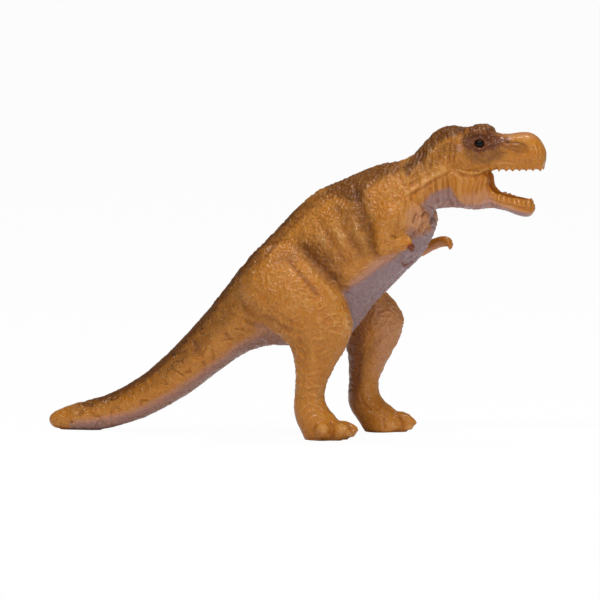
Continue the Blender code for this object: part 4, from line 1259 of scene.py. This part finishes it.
class FIGURE_OT_limbs(bpy.types.Operator):
    """Parts legs and arms from the skin"""
    bl_idname = "figure.limbs"
    bl_label = "Legs and arms"

    def execute(self, context):
        made = cutters(context.scene.figure_view)
        finish = finish_of("ochre_pvc_skin", pvc_finish)
        for name in LIMB_ROOMS:
            limb = cut(made_skin().data, made[name + "_room"], "INTERSECT")
            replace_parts(section(name + "_skin", limb, finish), name)
        return {"FINISHED"}


# How much the lids narrow the eye towards its corners, and how sharply
LID_SHARE = 0.55
LID_POWER = 2.2


class FIGURE_OT_eyes(bpy.types.Operator):
    """Models the glossy black eyes in their sockets"""
    bl_idname = "figure.eyes"
    bl_label = "Eyes"

    def execute(self, context):
        finish = finish_of("black_gloss_eye", eye_finish)
        for name in ("right_eye", "left_eye"):
            low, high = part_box(name)
            bm = bmesh.new()
            bmesh.ops.create_icosphere(bm, subdivisions=5, radius=0.5)
            for v in bm.verts:
                lid = 1.0 - LID_SHARE * abs(2.0 * v.co.x) ** LID_POWER
                v.co.z *= LID_SHARE + (1.0 - LID_SHARE) * lid
                v.co = v.co * (high - low) + (low + high) / 2
            mesh = mesh_from(bm, name + "_gloss")
            mesh.shade_smooth()
            mesh.materials.append(finish)
            obj = linked(name + "_gloss", mesh)
            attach(obj, "root")
            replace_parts(obj, name)
        return {"FINISHED"}


# Stage

# Soft lamps aimed at the figure: watts, size and place in metres
LAMPS = (
    ("side_lamp", 0.7, 0.08, (0.05, -0.85, 0.45)),
    ("key_lamp", 4.1, 0.15, (-0.05, -0.45, 0.85)),
    ("top_lamp", 2.4, 0.20, (0.15, 0.15, 0.8)),
    ("front_lamp", 1.8, 0.22, (0.75, -0.55, 0.25)),
)
# White that the camera sees, and the warm light of the room with its strength
WHITE = (1.0, 1.0, 1.0, 1.0)
ROOM_LIGHT = (1.0, 0.94, 0.85, 1.0)
ROOM_STRENGTH = 0.18
# Share of white with which the camera sees the floor beside its shadow, and half the floor's side in metres
FLOOR_WHITE = 0.965
FLOOR_REACH = 4.0


def floor_finish():
    """Plain pale floor: the camera sees it white, with the shadow kept."""
    f = Finish(bpy.data.materials.new("pale_floor"))
    tone = f.noise(0.4, 2.0)
    colour = f.mix(tone * 0.3, (0.93, 0.93, 0.93), (0.9, 0.9, 0.91))
    diffuse = f.wire("ShaderNodeBsdfDiffuse", "BSDF", None, {"Color": colour})
    white = f.wire("ShaderNodeEmission", "Emission", None, {"Color": WHITE, "Strength": 1.0})
    seen = f.wire("ShaderNodeLightPath", "Is Camera Ray") * FLOOR_WHITE
    shader = f.wire("ShaderNodeMixShader", 0, None, {0: seen, 1: diffuse, 2: white})
    return f.made("ShaderNodeOutputMaterial", shader)


def studio_light(world):
    """Even light of the room, which the camera sees as plain white."""
    f = Finish(world)
    white = f.wire("ShaderNodeBackground", 0, None, {"Color": WHITE, "Strength": 1.0})
    lit = f.wire("ShaderNodeBackground", 0, None, {"Color": ROOM_LIGHT, "Strength": ROOM_STRENGTH})
    seen = f.wire("ShaderNodeLightPath", "Is Camera Ray")
    shader = f.wire("ShaderNodeMixShader", 0, None, {0: seen, 1: lit, 2: white})
    return f.made("ShaderNodeOutputWorld", shader)


def aimed(name, data, place, back):
    """A lamp or camera at a place, with its back turned along a direction."""
    obj = linked(name, data)
    obj.location = place
    obj.rotation_mode = "QUATERNION"
    obj.rotation_quaternion = back.to_track_quat("Z", "Y")
    return obj


class FIGURE_OT_stage(bpy.types.Operator):
    """Sets the pale floor, the soft lamps and the camera"""
    bl_idname = "figure.stage"
    bl_label = "Stage"

    def execute(self, context):
        scene = context.scene
        view = scene.figure_view
        right, up, back = (Vector(v) for v in view_axes(view))
        middle = Vector(MIDDLE)
        feet = Vector(FEET) - middle
        aim = (middle + right * (PICTURE / 2 - view.middle_x) * view.dot
               + up * (feet.dot(up) + (view.ground_y - PICTURE / 2) * view.dot))
        lens = bpy.data.cameras.new("camera")
        lens.lens = lens.sensor_width * view.distance / (PICTURE * view.dot)
        lens.clip_start = 0.1
        lens.clip_end = view.distance * 5
        scene.camera = aimed("camera", lens, aim + back * view.distance, back)
        scene.view_settings.view_transform = "Standard"
        scene.world = studio_light(bpy.data.worlds.new("studio"))
        for name, watts, size, place in LAMPS:
            lamp = bpy.data.lights.new(name, "AREA")
            lamp.energy = watts
            lamp.size = size
            aimed(name, lamp, place, Vector(place) - middle)
        mesh = bpy.data.meshes.new("floor")
        reach = FLOOR_REACH
        corners = [(-reach, -reach, 0), (reach, -reach, 0), (reach, reach, 0), (-reach, reach, 0)]
        mesh.from_pydata(corners, [], [(0, 1, 2, 3)])
        floor = linked("floor", mesh)
        mesh.materials.append(floor_finish())
        return {"FINISHED"}


# Panel and running

class FIGURE_PT_panel(bpy.types.Panel):
    """Steps and settings of the figure"""
    bl_idname = "FIGURE_PT_panel"
    bl_label = "Figure"
    bl_space_type = "VIEW_3D"
    bl_region_type = "UI"
    bl_category = "Figure"

    def draw(self, context):
        for operator in OPERATORS:
            self.layout.operator(operator.bl_idname)
        for group in (context.scene.figure_skin, context.scene.figure_paint, context.scene.figure_view):
            box = self.layout.box()
            for name in group.__annotations__:
                box.prop(group, name)


OPERATORS = (FIGURE_OT_skin, FIGURE_OT_trunk, FIGURE_OT_head, FIGURE_OT_limbs, FIGURE_OT_eyes,
             FIGURE_OT_stage)
CLASSES = (ViewSettings, SkinSettings, PaintSettings, *OPERATORS, FIGURE_PT_panel)


def register():
    for cls in CLASSES:
        bpy.utils.register_class(cls)
    bpy.types.Scene.figure_view = PointerProperty(type=ViewSettings)
    bpy.types.Scene.figure_skin = PointerProperty(type=SkinSettings)
    bpy.types.Scene.figure_paint = PointerProperty(type=PaintSettings)


def unregister():
    for name in ("figure_view", "figure_skin", "figure_paint"):
        delattr(bpy.types.Scene, name)
    for cls in reversed(CLASSES):
        bpy.utils.unregister_class(cls)


def main():
    register()
    bpy.ops.figure.skin()
    bpy.ops.figure.trunk()
    bpy.ops.figure.head()
    bpy.ops.figure.limbs()
    bpy.ops.figure.eyes()
    for obj in [o for o in bpy.data.objects if o.name.endswith("_room") or o.name == "joined_skin"]:
        bpy.data.objects.remove(obj)
    bpy.ops.figure.stage()


if __name__ == "__main__":
    main()
